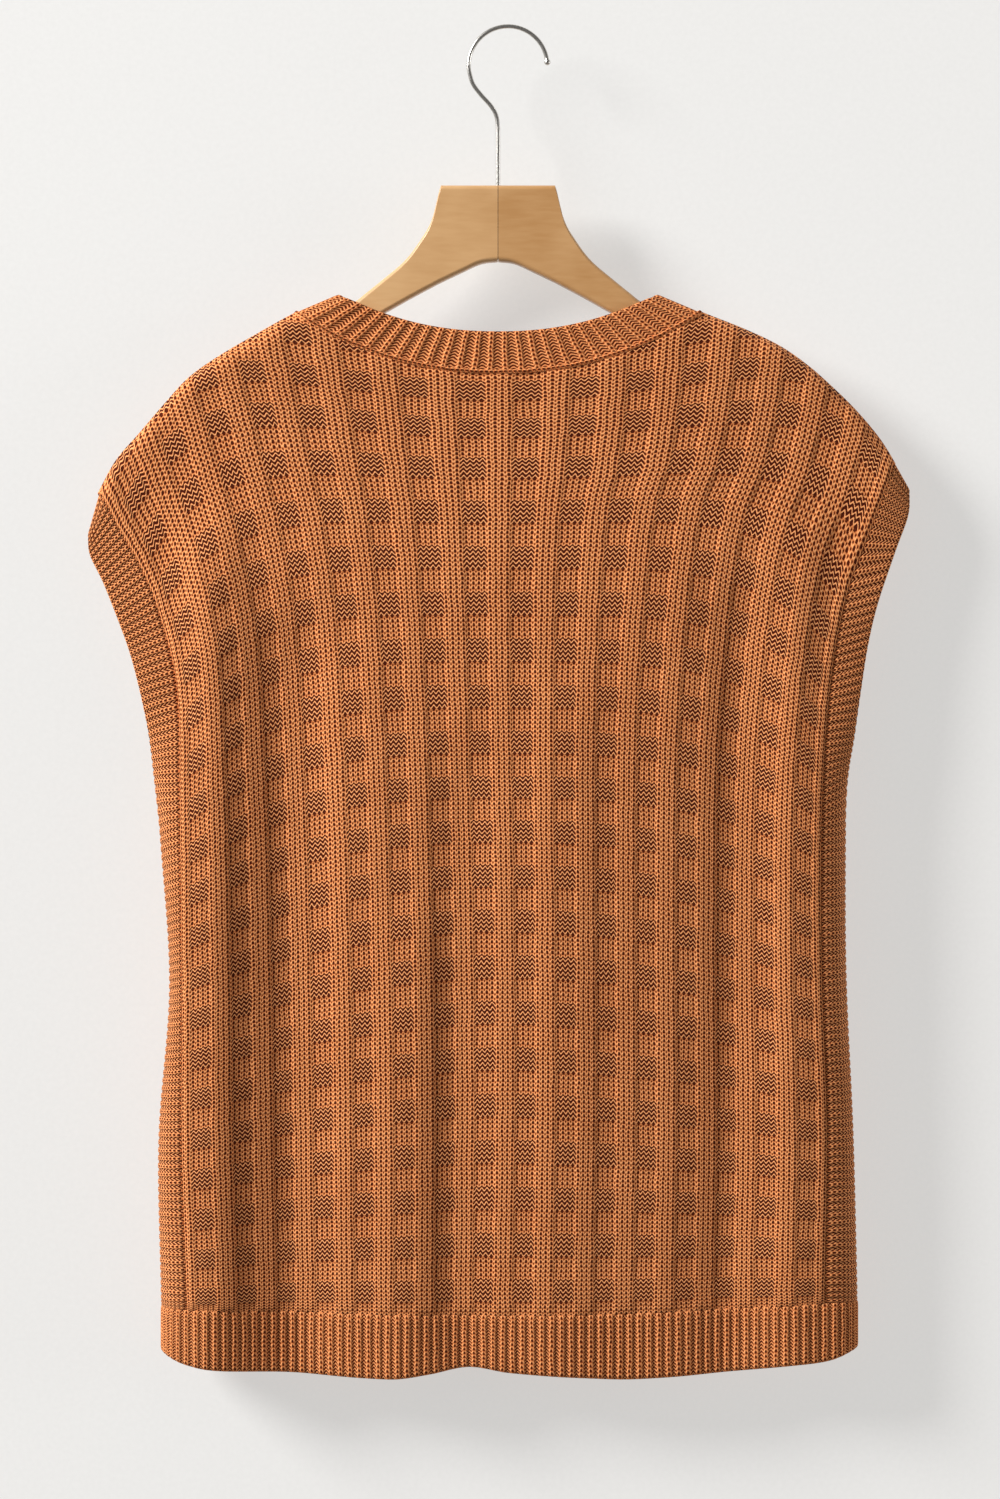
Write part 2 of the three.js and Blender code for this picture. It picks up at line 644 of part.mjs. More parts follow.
// Section heights of the wooden hanger from its middle to the end of an arm.
const WOOD = [
  { x: 0, top: -94.5, bottom: -140 },
  { x: 10, top: -94.5, bottom: -141.3 },
  { x: 21, top: -94.5, bottom: -146.2 },
  { x: 34.2, top: -94.5, bottom: -152.5 },
  { x: 35.2, top: -97.5, bottom: -153 },
  { x: 39.6, top: -114.9, bottom: -155.3 },
  { x: 46.2, top: -126.9, bottom: -158.8 },
  { x: 55.2, top: -138.9, bottom: -163.7 },
  { x: 69, top: -150.9, bottom: -171.5 },
  { x: 84.6, top: -163.4, bottom: -180 },
];
const ARM_PLACES = [98, 112, 126, 140, 154, 168, 178, 183];
const ARM_HEIGHT = { inner: 19, outer: 13 };
const ARM_HALF_THICKNESS = { inner: 5.6, outer: 4.2 };

// Wood under the cloth follows the inside of the shoulder.
function armSections(hand) {
  const rows = ARM_PLACES.map((x) => {
    const slope = (shoulderZ(hand * (x + 2)) - shoulderZ(hand * (x - 2))) / 4;
    const under = shoulderZ(hand * x) - (WALL + ARM_CLEARANCE) * Math.hypot(1, slope);
    const settle = smooth(clamp((x - 84.6) / 30, 0, 1));
    const top = mix(-163.4 - (x - 84.6) * 0.45, under, settle);
    const t = (x - ARM_PLACES[0]) / (ARM_HALF_LENGTH - ARM_PLACES[0]);
    const half = mix(ARM_HALF_THICKNESS.inner, ARM_HALF_THICKNESS.outer, t);
    return { x, top, bottom: top - mix(ARM_HEIGHT.inner, ARM_HEIGHT.outer, t), half };
  });
  const tip = rows.at(-1);
  return [...rows, { ...tip, x: ARM_HALF_LENGTH, top: tip.top - 4, bottom: tip.bottom + 3 }];
}

function woodHalf(hand) {
  const shell = new Shell();
  const sections = [...WOOD, ...armSections(hand)];
  const loops = sections.map((s) => {
    const x = hand * Math.max(s.x, JOINT_HALF_GAP);
    const h = s.half ?? WOOD_HALF_THICKNESS;
    const r = s.half ? h - 1 : WOOD_EDGE_ROUND;
    const corner = [
      [-h, s.bottom + r],
      [-h, s.top - r],
      [-h + r * 0.3, s.top - r * 0.3],
      [-h + r, s.top],
      [h - r, s.top],
      [h - r * 0.3, s.top - r * 0.3],
      [h, s.top - r],
      [h, s.bottom + r],
      [h - r, s.bottom],
      [-h + r, s.bottom],
    ];
    return corner.map(([y, z]) => shell.add(new THREE.Vector3(x, y, z), 0));
  });
  for (let i = 0; i < loops.length - 1; i += 1) {
    loops[i].forEach((p, k) => {
      const next = (k + 1) % loops[i].length;
      shell.face(p, loops[i + 1][k], loops[i + 1][next], false);
      shell.face(p, loops[i + 1][next], loops[i][next], false);
    });
  }
  const cap = (loop, flip) => {
    for (let k = 1; k < loop.length - 1; k += 1) {
      shell.face(loop[0], loop[k], loop[k + 1], flip);
    }
  };
  cap(loops[0], false);
  cap(loops.at(-1), true);
  const solid = toManifold(shell.geometry());
  const bore = wasm.Manifold.cylinder(60, WIRE_RADIUS + HALF_GAP * 2, WIRE_RADIUS + HALF_GAP * 2, 12)
    .translate([0, 0, -146]);
  return fromManifold(solid.subtract(bore));
}

function toManifold(g) {
  const mesh = new wasm.Mesh({
    numProp: 3,
    vertProperties: new Float32Array(g.attributes.position.array),
    triVerts: new Uint32Array(g.index.array),
  });
  mesh.merge();
  return new wasm.Manifold(mesh);
}

function fromManifold(solid) {
  const mesh = solid.getMesh();
  const g = new THREE.BufferGeometry();
  g.setAttribute('position', new THREE.BufferAttribute(new Float32Array(mesh.vertProperties), 3));
  g.setIndex([...mesh.triVerts]);
  return g;
}

// Wire of the hook: up the stem, round the crown, to a small ball at the tip.
function hookPath() {
  const centre = { x: HOOK_SIDE_STEP, z: WIRE_RADIUS - HOOK_RADIUS };
  const points = [
    [0, STEM_END_Z], [0, -120], [0, -94], [0, -70], [-0.3, -56], [-1.8, -50.5], [-5, -45.6],
    [-10.5, -39.5], [-15.2, -33],
  ].map(([x, z]) => new THREE.Vector3(x, 0, z));
  const start = 188;
  const end = 9;
  const steps = 20;
  for (let i = 0; i <= steps; i += 1) {
    const a = THREE.MathUtils.degToRad(mix(start, end, i / steps));
    points.push(new THREE.Vector3(
      centre.x + HOOK_RADIUS * Math.cos(a),
      0,
      centre.z + HOOK_RADIUS * Math.sin(a),
    ));
  }
  return points;
}

function hook() {
  const shell = new Shell();
  const path = hookPath();
  const sides = 8;
  const direction = (i) => path[Math.min(i + 1, path.length - 1)].clone()
    .sub(path[Math.max(i - 1, 0)]).normalize();
  const loop = (centre, ahead, radius) => {
    const across = new THREE.Vector3(-ahead.z, 0, ahead.x);
    const points = [];
    for (let k = 0; k < sides; k += 1) {
      const a = (2 * Math.PI * k) / sides;
      const p = centre.clone().addScaledVector(across, radius * Math.cos(a));
      p.y += radius * Math.sin(a);
      points.push(shell.add(p, 0));
    }
    return points;
  };
  const loops = path.map((p, i) => loop(p, direction(i), WIRE_RADIUS));
  const tip = path.at(-1);
  const ahead = direction(path.length - 1);
  const ball = [
    { along: 0.6, radius: 1.75 }, { along: 1.9, radius: HOOK_TIP_RADIUS },
    { along: 3.1, radius: 1.45 }, { along: 3.7, radius: 0.6 },
  ];
  ball.forEach((b) => {
    loops.push(loop(tip.clone().addScaledVector(ahead, b.along), ahead, b.radius));
  });
  for (let i = 0; i < loops.length - 1; i += 1) {
    loops[i].forEach((p, k) => {
      const next = (k + 1) % sides;
      shell.face(p, loops[i][next], loops[i + 1][next], false);
      shell.face(p, loops[i + 1][next], loops[i + 1][k], false);
    });
  }
  for (let k = 1; k < sides - 1; k += 1) {
    shell.face(loops[0][0], loops[0][k + 1], loops[0][k], false);
    shell.face(loops.at(-1)[0], loops.at(-1)[k], loops.at(-1)[k + 1], false);
  }
  return shell.geometry();
}

const group = new THREE.Group();
group.name = 'knitted_sweater_vest';

function addNode(name, geometry, color, roughness, metalness) {
  geometry.translate(-HOOK_SIDE_STEP, 0, 0);
  geometry.computeVertexNormals();
  const material = new THREE.MeshStandardMaterial({ color, roughness, metalness });
  material.name = name;
  const mesh = new THREE.Mesh(geometry, material);
  mesh.name = name;
  group.add(mesh);
}

const KNIT = '#c27a45';
const RIB = '#bd743f';
const BEECH = '#c08b55';
const NICKEL = '#b9b6b0';
addNode('back_panel', panel(SIDES.back).geometry(), KNIT, 0.95, 0);
addNode('front_panel', panel(SIDES.front).geometry(), KNIT, 0.95, 0);
addNode('neckband', neckband().geometry(), RIB, 0.95, 0);
addNode('side_band_left', sideBand(-1).geometry(), RIB, 0.95, 0);
addNode('side_band_right', sideBand(1).geometry(), RIB, 0.95, 0);
addNode('hem_back', hem(SIDES.back).geometry(), RIB, 0.95, 0);
addNode('hem_front', hem(SIDES.front).geometry(), RIB, 0.95, 0);
addNode('hanger_left', woodHalf(-1), BEECH, 0.45, 0);
addNode('hanger_right', woodHalf(1), BEECH, 0.45, 0);
addNode('hanger_hook', hook(), NICKEL, 0.3, 1);

export default group;
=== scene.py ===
"""Knitted sweater vest, seen from the back, hanging on a wooden hanger in front of a pale wall."""
import math

import bmesh
import bpy
import numpy as np
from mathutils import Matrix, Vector


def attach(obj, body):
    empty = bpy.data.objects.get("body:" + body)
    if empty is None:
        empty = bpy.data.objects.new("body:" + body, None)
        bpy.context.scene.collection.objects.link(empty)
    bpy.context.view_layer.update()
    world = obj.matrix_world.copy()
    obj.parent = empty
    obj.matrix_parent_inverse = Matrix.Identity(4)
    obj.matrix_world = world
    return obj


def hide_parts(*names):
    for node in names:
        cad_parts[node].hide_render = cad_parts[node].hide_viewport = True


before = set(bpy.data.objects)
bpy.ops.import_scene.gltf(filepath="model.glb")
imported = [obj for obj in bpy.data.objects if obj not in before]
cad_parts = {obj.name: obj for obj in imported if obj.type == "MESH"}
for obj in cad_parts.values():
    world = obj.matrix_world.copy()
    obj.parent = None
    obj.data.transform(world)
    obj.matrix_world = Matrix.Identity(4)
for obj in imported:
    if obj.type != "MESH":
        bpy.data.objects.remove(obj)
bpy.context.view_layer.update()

bl_info = {
    "name": "Knitted sweater vest",
    "version": (1, 0, 0),
    "blender": (4, 5, 0),
    "location": "3D View > Sidebar > Vest",
    "description": "Builds a knitted sweater vest on a wooden hanger",
    "category": "Object",
}


def columns(names, *rows):
    """A table as a dictionary: one array for each named column."""
    return dict(zip(names.split(), np.array(rows, float).T))


# Everything is worked out in millimetres from the hanger's stem (x) and the hook's crown (z), with
# the back at -Y, and moved by this step so that the hook's middle is over the origin.
HOOK_SIDE_STEP = 6.0

# Stitch pattern: 16 columns of 8 wales; blocks repeat every 10 courses, 21 to 22 times.
HALF_COLUMNS = 8
WALES_PER_COLUMN = 8
COURSES_PER_ROW = 10
FIRST_ROW = -0.56
LAST_ROW = 21.5

# Rows of blocks: height in the middle and at both panel edges, how sharply the row droops, its
# lift beside the neck, the panel edges and how far the columns crowd outward.
ROWS = columns(
    "row z_mid z_left z_right bow lift x_left x_mid x_right crowd",
    (-0.56, -770.1, -766.5, -763.0, 2.0, 0, -185.4, 3.0, 195.0, 0.00),
    (0.0, -755.5, -759.3, -753.5, 1.6, 0, -185.4, 3.0, 195.0, 0.00),
    (4.0, -644.7, -666.3, -661.0, 1.6, 0, -188.4, 4.5, 196.2, 0.00),
    (8.0, -534.9, -572.0, -565.5, 2.0, 0, -188.4, 4.0, 193.2, 0.02),
    (12.0, -428.7, -473.7, -469.0, 3.0, 0, -189.6, 2.0, 193.2, 0.05),
    (15.0, -345.9, -393.3, -394.5, 3.6, 1, -192.0, 0.6, 198.6, 0.10),
    (17.0, -291.3, -344.7, -339.5, 4.0, 5, -204.6, 0.6, 208.8, 0.13),
    (18.0, -264.9, -321.3, -299.1, 4.5, 8, -214.8, 0.6, 223.8, 0.15),
    (19.0, -240.9, -301.5, -271.5, 4.8, 14, -226.2, 0.6, 234.0, 0.15),
    (20.0, -218.7, -281.7, -251.7, 5.0, 18, -236.4, 0.6, 239.4, 0.15),
    (21.5, -183.9, -252.0, -223.0, 5.0, 22, -250.0, 0.6, 246.0, 0.15),
)

# Free edge of each side band: place, half width of the opening, squareness of its turn.
BAND_EDGE = columns(
    "row x_left z_left x_right z_right open square",
    (-0.56, -201.6, -766.0, 215.4, -763.0, 0, 0.80),
    (0.0, -202.0, -759.5, 215.4, -753.5, 0, 0.80),
    (4.0, -203.4, -666.3, 213.0, -661.0, 0, 0.80),
    (8.0, -196.8, -573.0, 208.8, -566.0, 0, 0.80),
    (11.7, -202.8, -483.0, 208.6, -478.0, 0, 0.70),
    (12.6, -205.5, -455.0, 209.6, -450.0, 5, 0.55),
    (14.0, -209.5, -422.0, 213.6, -424.0, 9, 0.40),
    (15.0, -214.8, -396.0, 217.2, -398.0, 10, 0.30),
    (16.0, -220.8, -373.5, 221.4, -371.0, 9, 0.20),
    (17.0, -228.0, -353.5, 227.5, -345.0, 8, 0.10),
    (18.0, -236.5, -332.5, 238.0, -314.0, 6, 0.00),
    (19.0, -244.8, -315.5, 246.0, -292.0, 4, 0.00),
    (20.0, -246.0, -304.5, 247.0, -277.0, 2, 0.00),
)

# Fold line along the shoulders by distance from the middle.
SHOULDER = columns(
    "out left right",
    (0, -118.0, -118.0), (60, -143.0, -143.0), (95, -160.0, -160.0), (121, -171.2, -170.6),
    (150, -187.3, -182.2), (170, -199.3, -192.0), (186, -211.0, -203.2), (200, -226.3, -215.5),
    (215, -243.8, -230.2), (229, -260.0, -246.8), (238, -276.0, -261.0), (250, -300.0, -284.0),
)

# Half depth of the hanging vest by height: at the panel edges and in the middle.
DEPTH = columns(
    "z left right mid",
    (-820, 15.0, 13.0, 17.0), (-770, 17.0, 15.0, 19.0), (-660, 19.0, 17.0, 22.0),
    (-540, 20.0, 18.0, 24.0), (-470, 18.0, 17.0, 24.0), (-400, 14.0, 14.0, 22.0),
    (-340, 10.5, 10.5, 19.0), (-300, 8.5, 8.5, 16.0), (-250, 7.5, 7.5, 12.5),
    (-200, 8.6, 8.6, 10.4), (-160, 8.8, 8.8, 9.6),
)
HALF_GAP = 0.15
SHOULDER_ROUND = 9.0

# How far a panel's edges reach under the bands, in columns or rows; above this row its rows are
# stretched up to the neck and shoulders; quads across and up its outside and its inside.
TUCK = 0.055
STRETCHED_FROM_ROW = 14.0
PANEL_QUADS = (260, 221)
INSIDE_QUADS = (64, 55)

# Crests (+) and troughs (-) that run down the cloth: place, lean, lower and upper end, width, rise.
FOLDS = {
    -1: (
        (-172, 0.00, -790, -330, 20, 7.8), (-121, 0.00, -790, -390, 24, -7.6),
        (-58, 0.02, -820, -560, 17, 3.6), (-22, 0.00, -820, -470, 15, -3.2),
        (38, 0.00, -820, -430, 22, 3.4), (136, 0.02, -760, -370, 20, -5.4),
        (178, 0.00, -790, -320, 17, 3.8), (-196, -0.50, -400, -300, 11, -3.4),
    ),
    1: (
        (-150, 0.03, -820, -420, 22, 4.8), (-98, 0.00, -820, -480, 20, -4.2),
        (-34, -0.02, -820, -520, 22, 3.8), (26, 0.00, -820, -500, 19, -3.2),
        (84, 0.02, -820, -450, 21, 4.2), (138, 0.00, -790, -400, 19, -4.6),
        (186, 0.30, -420, -300, 12, -3.0),
    ),
}

# Neck opening: the seam and the free edge of the neckband, for the back (-1) and the front (1).
NECK_SEAM_HALF = 121.0
NECK_EDGE_HALF = 95.0
NECK_POWER = 2.2
NECK_SEAM_SIDE_Z = -171.0
NECK_EDGE_SIDE_Z = -160.0
NECK_SEAM_Z = {-1: -206.7, 1: -268.0}
NECK_EDGE_Z = {-1: -182.7, 1: -244.0}
NECK_RIBS = {-1: 28, 1: 38}

# Lower edge of the hems across the vest.
HEM_EDGE = columns(
    "x z",
    (-205, -791.0), (-190, -798.0), (-172, -802.0), (-125, -804.5), (-65, -807.8),
    (-40, -805.0), (-17, -801.0), (7, -804.3), (55, -807.3), (80, -808.0), (127, -805.0),
    (175, -800.0), (199, -797.0), (220, -789.0),
)
HEM_RIBS = {"side": 5.5, "panel": 66.0}

# Ribs of a side band from a hem to the shoulder, how much lower they are than on the hems, and the
# row of the underarm.
BAND_RIBS = 103
BAND_RELIEF = 0.6
UNDERARM_ROW = 11.7

# Loops of the chain along the neck seam, back (-1) and front (1).
CHAIN_LOOPS = {-1: 92, 1: 126}

# Share of a rib that its knit wale takes: narrow on the stretched neckband, wide on the bands.
KNIT_SHARE = {"neck": 0.42, "hem": 0.54, "band": 0.60}

# Hanger: section heights of the shaped middle, then the arms under the cloth.
WOOD = columns(
    "x top bottom",
    (0, -94.5, -140.0), (10, -94.5, -141.3), (21, -94.5, -146.2), (34.2, -94.5, -152.5),
    (35.2, -97.5, -153.0), (39.6, -114.9, -155.3), (46.2, -126.9, -158.8),
    (55.2, -138.9, -163.7), (69, -150.9, -171.5), (84.6, -163.4, -180.0),
)
HEAD_CORNER = (34.2, 35.2, 36.0)
ARM_START = 98.0
ARM_END = 185.0
ARM_TIP = 7.0
ARM_SLOPE = 0.45
ARM_UNDER_CLOTH = 3.3
ARM_EDGE = 3.4
JOINT_HALF_GAP = 0.15

# Hook: the wire's stem and bend, then an arc, and the ball at its tip.
HOOK_STEM = columns(
    "x z",
    (0, -138.5), (0, -120), (0, -94), (0, -78), (0, -66), (-0.3, -56), (-1.8, -50.5),
    (-5, -45.6), (-10.5, -39.5), (-15.2, -33),
)
HOOK_RADIUS = 23.6
HOOK_TOP_Z = 1.3
HOOK_ARC = (188, 9)
BALL_RADIUS = 1.9
BALL_STEP = 1.6

# Stage, in metres: the wall, the lamps and what they point at, and the camera's distance and the
# height of its frame at that distance, in millimetres.
WALL_Y = 0.031
WALL_HALF_SIZE = 4.0
LAMPS = {
    "window": {"place": (-4.6, -2.6, 2.3), "size": 2.2, "power": 570.0},
    "bounce": {"place": (3.8, -1.1, -0.3), "size": 1.6, "power": 40.0},
}
AIM = (0, 0, -0.4)
ROOM_COLOUR = (1, 0.985, 0.965, 1)
ROOM_STRENGTH = 0.18
CAMERA_AWAY = 3000
CAMERA_X, CAMERA_Z = -0.0048, -0.4326
FRAME_HEIGHT = 899.4
SENSOR_WIDTH = 36


def along(table, key, at, column):
    """Smooth value of one column of a table at places along its key column."""
    keys, values = table[key], table[column]
    if keys[0] > keys[-1]:
        keys, values = keys[::-1], values[::-1]
    slope = np.empty(len(keys))
    slope[1:-1] = (values[2:] - values[:-2]) / (keys[2:] - keys[:-2])
    slope[0] = (values[1] - values[0]) / (keys[1] - keys[0])
    slope[-1] = (values[-1] - values[-2]) / (keys[-1] - keys[-2])
    i = np.clip(np.searchsorted(keys, at) - 1, 0, len(keys) - 2)
    span = keys[i + 1] - keys[i]
    t = np.clip((at - keys[i]) / span, 0, 1)
    value = values[i] + (values[i + 1] - values[i]) * t * t * (3 - 2 * t)
    value += (t**3 - 2 * t * t + t) * span * slope[i] + (t**3 - t * t) * span * slope[i + 1]
    below = np.minimum(at - keys[0], 0) * slope[0]
    return value + below + np.maximum(at - keys[-1], 0) * slope[-1]


def smooth(t):
    """Eases from 0 to 1 and holds outside."""
    t = np.clip(t, 0, 1)
    return t * t * (3 - 2 * t)


def mix(a, b, t):
    """The value a share t of the way from a to b."""
    return a + (b - a) * t


def front(c, q):
    """Front view of a panel: where column c (-8 to 8) and row q of the pattern lie."""
    s = c / HALF_COLUMNS
    at = {name: along(ROWS, "row", q, name) for name in ROWS if name != "row"}
    reach = np.where(s < 0, at["x_mid"] - at["x_left"], at["x_right"] - at["x_mid"])
    x = at["x_mid"] + reach * s * (1 + at["crowd"] * (1 - s * s))
    droop = np.where(s < 0, at["z_left"], at["z_right"]) - at["z_mid"]
    z = at["z_mid"] + droop * np.abs(s) ** at["bow"]
    return x, z + at["lift"] * 4 * s * s * (1 - s * s)


def shoulder_z(x):
    """Height of the shoulder fold."""
    out = np.abs(x)
    return np.where(x < 0, along(SHOULDER, "out", out, "left"), along(SHOULDER, "out", out, "right"))


def turn_over(distance, radius=SHOULDER_ROUND):
    """Rounds the cloth over: 0 on the fold, 1 from a radius away."""
    return np.sqrt(np.maximum(0, 1 - (1 - np.clip(distance / radius, 0, 1)) ** 2))


def depth(side, x, z):
    """Half depth of the vest at a point of its front view."""
    edge = np.where(x < 0, along(DEPTH, "z", z, "left"), along(DEPTH, "z", z, "right"))
    body = mix(edge, along(DEPTH, "z", z, "mid"), 1 - np.clip(np.abs(x) / 200, 0, 1) ** 2.5)
    for place, lean, low, high, width, rise in FOLDS[side]:
        inside = smooth((z - low + 60) / 60) * smooth((high + 60 - z) / 60)
        body = body + rise * inside * np.exp(-(((x - place - lean * (z - low)) / width) ** 2))
    slope = (shoulder_z(x + 2) - shoulder_z(x - 2)) / 4
    below = np.maximum(0, shoulder_z(x) - z) / np.hypot(1, slope)
    return np.maximum(HALF_GAP, body * turn_over(below))


def cloth(side, c, q):
    """Points of a panel's plain surface, back (-1) or front (1)."""
    x, z = front(c, q)
    return np.stack([x, side * depth(side, x, z), z], axis=-1)


def neck_seam_z(side, x):
    """Height of the neck seam."""
    share = np.clip(np.abs(x) / NECK_SEAM_HALF, 0, 1) ** NECK_POWER
    return mix(NECK_SEAM_Z[side], NECK_SEAM_SIDE_Z, share)


def top_row(side, c):
    """Upper limit of a panel in column c: the neck seam, or the shoulder fold beyond it."""
    c = np.asarray(c, float)
    low, high = np.full(c.shape, 13.0), np.full(c.shape, LAST_ROW + 1)
    for _ in range(32):
        middle = (low + high) / 2
        x, z = front(c, middle)
        fold = shoulder_z(x)
        limit = np.where(np.abs(x) < NECK_SEAM_HALF, np.minimum(neck_seam_z(side, x), fold), fold)
        high = np.where(z > limit, middle, high)
        low = np.where(z > limit, low, middle)
    return low


def keep_side(side, points):
    """Holds points on their own side of the plane where back and front meet."""
    points[..., 1] = side * np.maximum(HALF_GAP, side * points[..., 1])
    return points


def unit(vectors):
    """Vectors of length one."""
    return vectors / np.maximum(np.linalg.norm(vectors, axis=-1, keepdims=True), 1e-9)


def slope_along(points, around=False):
    """Step from each point to the next along the rows of a grid; a closed row wraps."""
    if not around:
        return np.gradient(points, axis=1)
    turn = np.roll(points[:, :-1], -1, axis=1) - np.roll(points[:, :-1], 1, axis=1)
    return np.concatenate([turn, turn[:, :1]], axis=1)


def uneven(x, z, reach):
    """Slight hand-made unevenness of the knit, in millimetres."""
    wave = np.sin(x / 17.0 + 1.3 * np.sin(z / 41.0)) * np.sin(z / 23.0 + 0.8 * np.sin(x / 29.0))
    return reach * (wave + 0.5 * np.sin(x / 7.3 + z / 9.1) * np.sin(z / 13.7 - x / 11.3))


def grid(name, make):
    """A mesh made from a bmesh grid, its points moved to the places and pattern places given."""
    points, pattern = make
    rows, across = points.shape[:2]
    bm = bmesh.new()
    bmesh.ops.create_grid(bm, x_segments=across - 1, y_segments=rows - 1, size=0.5)
    mesh = bpy.data.meshes.new(name)
    bm.to_mesh(mesh)
    bm.free()
    at = np.empty(len(mesh.vertices) * 3)
    mesh.vertices.foreach_get("co", at)
    at = at.reshape(-1, 3) + 0.5
    i = np.rint(at[:, 0] * (across - 1)).astype(int)
    j = np.rint(at[:, 1] * (rows - 1)).astype(int)
    placed = (points[j, i] - (HOOK_SIDE_STEP, 0, 0)) * 0.001
    mesh.vertices.foreach_set("co", placed.ravel())
    corner = np.empty(len(mesh.loops), int)
    mesh.loops.foreach_get("vertex_index", corner)
    layer = mesh.uv_layers.new(name="stitches")
    layer.data.foreach_set("uv", pattern[j, i][corner].ravel())
    return mesh


def finish(name, meshes, material, bridge=False):
    """Joins meshes into one closed piece with its faces outward, shaded smooth."""
    bm = bmesh.new()
    for mesh in meshes:
        bm.from_mesh(mesh)
        bpy.data.meshes.remove(mesh)
    bmesh.ops.remove_doubles(bm, verts=bm.verts, dist=2e-6)
    open_edges = [e for e in bm.edges if e.is_boundary]
    if bridge:
        bmesh.ops.bridge_loops(bm, edges=open_edges)
    elif open_edges:
        bmesh.ops.holes_fill(bm, edges=open_edges, sides=0)
    bmesh.ops.recalc_face_normals(bm, faces=bm.faces)
    if bm.calc_volume(signed=True) < 0:
        bmesh.ops.reverse_faces(bm, faces=bm.faces)
    made = bpy.data.meshes.new(name)
    bm.to_mesh(made)
    bm.free()
    made.shade_smooth()
    made.set_sharp_from_angle(angle=math.radians(60))
    made.materials.append(material)
    piece = bpy.data.objects.new(name, made)
    bpy.context.scene.collection.objects.link(piece)
    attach(piece, "root")
    return piece


def block_relief(look, c, q):
    """Height of the pattern over the plain cloth: strips and blocks of reverse stitches."""
    off = np.abs(c - (np.floor(c) + 0.5))
    down = np.abs(q - np.rint(q))
    strip = smooth((off - 0.21) / 0.10)
    block = smooth((0.29 - down) / 0.07) * (1 - strip)
    return strip * look.strip_relief * 1000 + block * look.block_relief * 1000


def panel_points(look, side, across, rows, inside):
    """A panel's outside with its pattern, or its plain inside, its edges tucked under the bands."""
    u, v = np.meshgrid(np.linspace(-1, 1, across + 1), np.linspace(0, 1, rows + 1))
    c = u * (HALF_COLUMNS + TUCK)
    q = mix(FIRST_ROW - TUCK, LAST_ROW, v)
    level = STRETCHED_FROM_ROW
    top = top_row(side, c[0]) + TUCK
    q = np.where(q > level, level + (q - level) / (LAST_ROW - level) * (top - level), q)
    base = cloth(side, c, q)
    n = unit(np.cross(slope_along(base), np.gradient(base, axis=0))) * -side
    if inside:
        lift = np.full(c.shape, -look.wall * 1000)
        pattern = np.stack([c * WALES_PER_COLUMN, -20 - q * COURSES_PER_ROW], axis=-1)
    else:
        edge = smooth((HALF_COLUMNS - np.abs(c)) / 0.03)
        edge *= smooth((q - FIRST_ROW - 0.01) / 0.05) * smooth((top - TUCK - q - 0.01) / 0.06)
        lift = mix(-0.35, block_relief(look, c, q) + uneven(base[..., 0], base[..., 2], 0.22), edge)
        pattern = np.stack([c * WALES_PER_COLUMN, q * COURSES_PER_ROW], axis=-1)
    return keep_side(side, base + n * lift[..., None]), pattern


def rib_height(ribs, share):
    """1 on the knit crest of a rib, 0 in the reverse stitches between."""
    off = np.abs(ribs - np.floor(ribs) - 0.5)
    return smooth((share / 2 + 0.09 - off) / 0.16)


def rib_places(count, share, samples):
    """Places along a strip, closer together on the flanks of each rib."""
    edge = share / 2
    one = np.interp(
        np.arange(samples) / samples, [0, 0.2, 0.4, 0.6, 0.8, 1],
        [0, 0.5 - edge - 0.07, 0.5 - edge + 0.07, 0.5 + edge - 0.07, 0.5 + edge + 0.07, 1],
    )
    return np.append((np.arange(count)[:, None] + one).ravel(), count)


def wale_places(ribs, share):
    """Pattern place across the ribs, with the knit wale stretched over a half of each rib."""
    whole = np.floor(ribs)
    edge = share / 2
    spread = np.interp(ribs - whole, [0, 0.5 - edge, 0.5 + edge, 1], [0, 0.25, 0.75, 1])
    return whole + spread


# Section round a ribbed strip: place across it, height over the strip's outer face and share of
# the rib's rise; outside, round the free edge and back along the inside.
STRIP_SECTION = columns(
    "across lift rib",
    (-0.02, -0.9, 0.0), (0.01, 0.0, 0.8), (0.12, 0.0, 1.0), (0.28, 0.0, 1.0), (0.44, 0.0, 1.0),
    (0.60, 0.0, 1.0), (0.76, 0.0, 1.0), (0.90, 0.0, 1.0), (0.97, -0.15, 0.9),
    (1.00, -0.55, 0.6), (1.012, -1.0, 0.3), (1.00, -1.5, 0.1), (0.96, -1.8, 0.0),
    (0.75, -1.9, 0.0), (0.40, -1.9, 0.0), (0.0, -1.9, 0.0), (-0.02, -0.9, 0.0),
)

# Section of the chain of stitches that joins the neckband, in the neckband's own measure.
CHAIN_SECTION = columns(
    "across lift rib",
    (-0.060, -0.5, 0.0), (-0.050, 0.25, 0.4), (-0.025, 0.7, 1.0), (0.005, 0.85, 1.0),
    (0.035, 0.7, 1.0), (0.055, 0.25, 0.4), (0.060, -0.5, 0.0), (0.0, -0.8, 0.0), (-0.060, -0.5, 0.0),
)


def strip_points(look, section, face, ribs, share, around=False, relief=1.0):
    """Points round a ribbed strip, raised from face(across), its plain face at places across it."""
    across = section["across"][:, None]
    base = face(across)
    out = face(across + 0.03) - face(across - 0.03)
    n = unit(np.cross(slope_along(base, around), out))
    rise = look.rib_relief * 1000 * relief * section["rib"][:, None] * rib_height(ribs, share)
    return base, n, (section["lift"][:, None] + rise)[..., None]


def pattern_places(across, along_strip):
    """Pattern places of a strip from wales across its ribs and courses along them."""
    return np.stack(np.broadcast_arrays(across, along_strip), axis=-1)


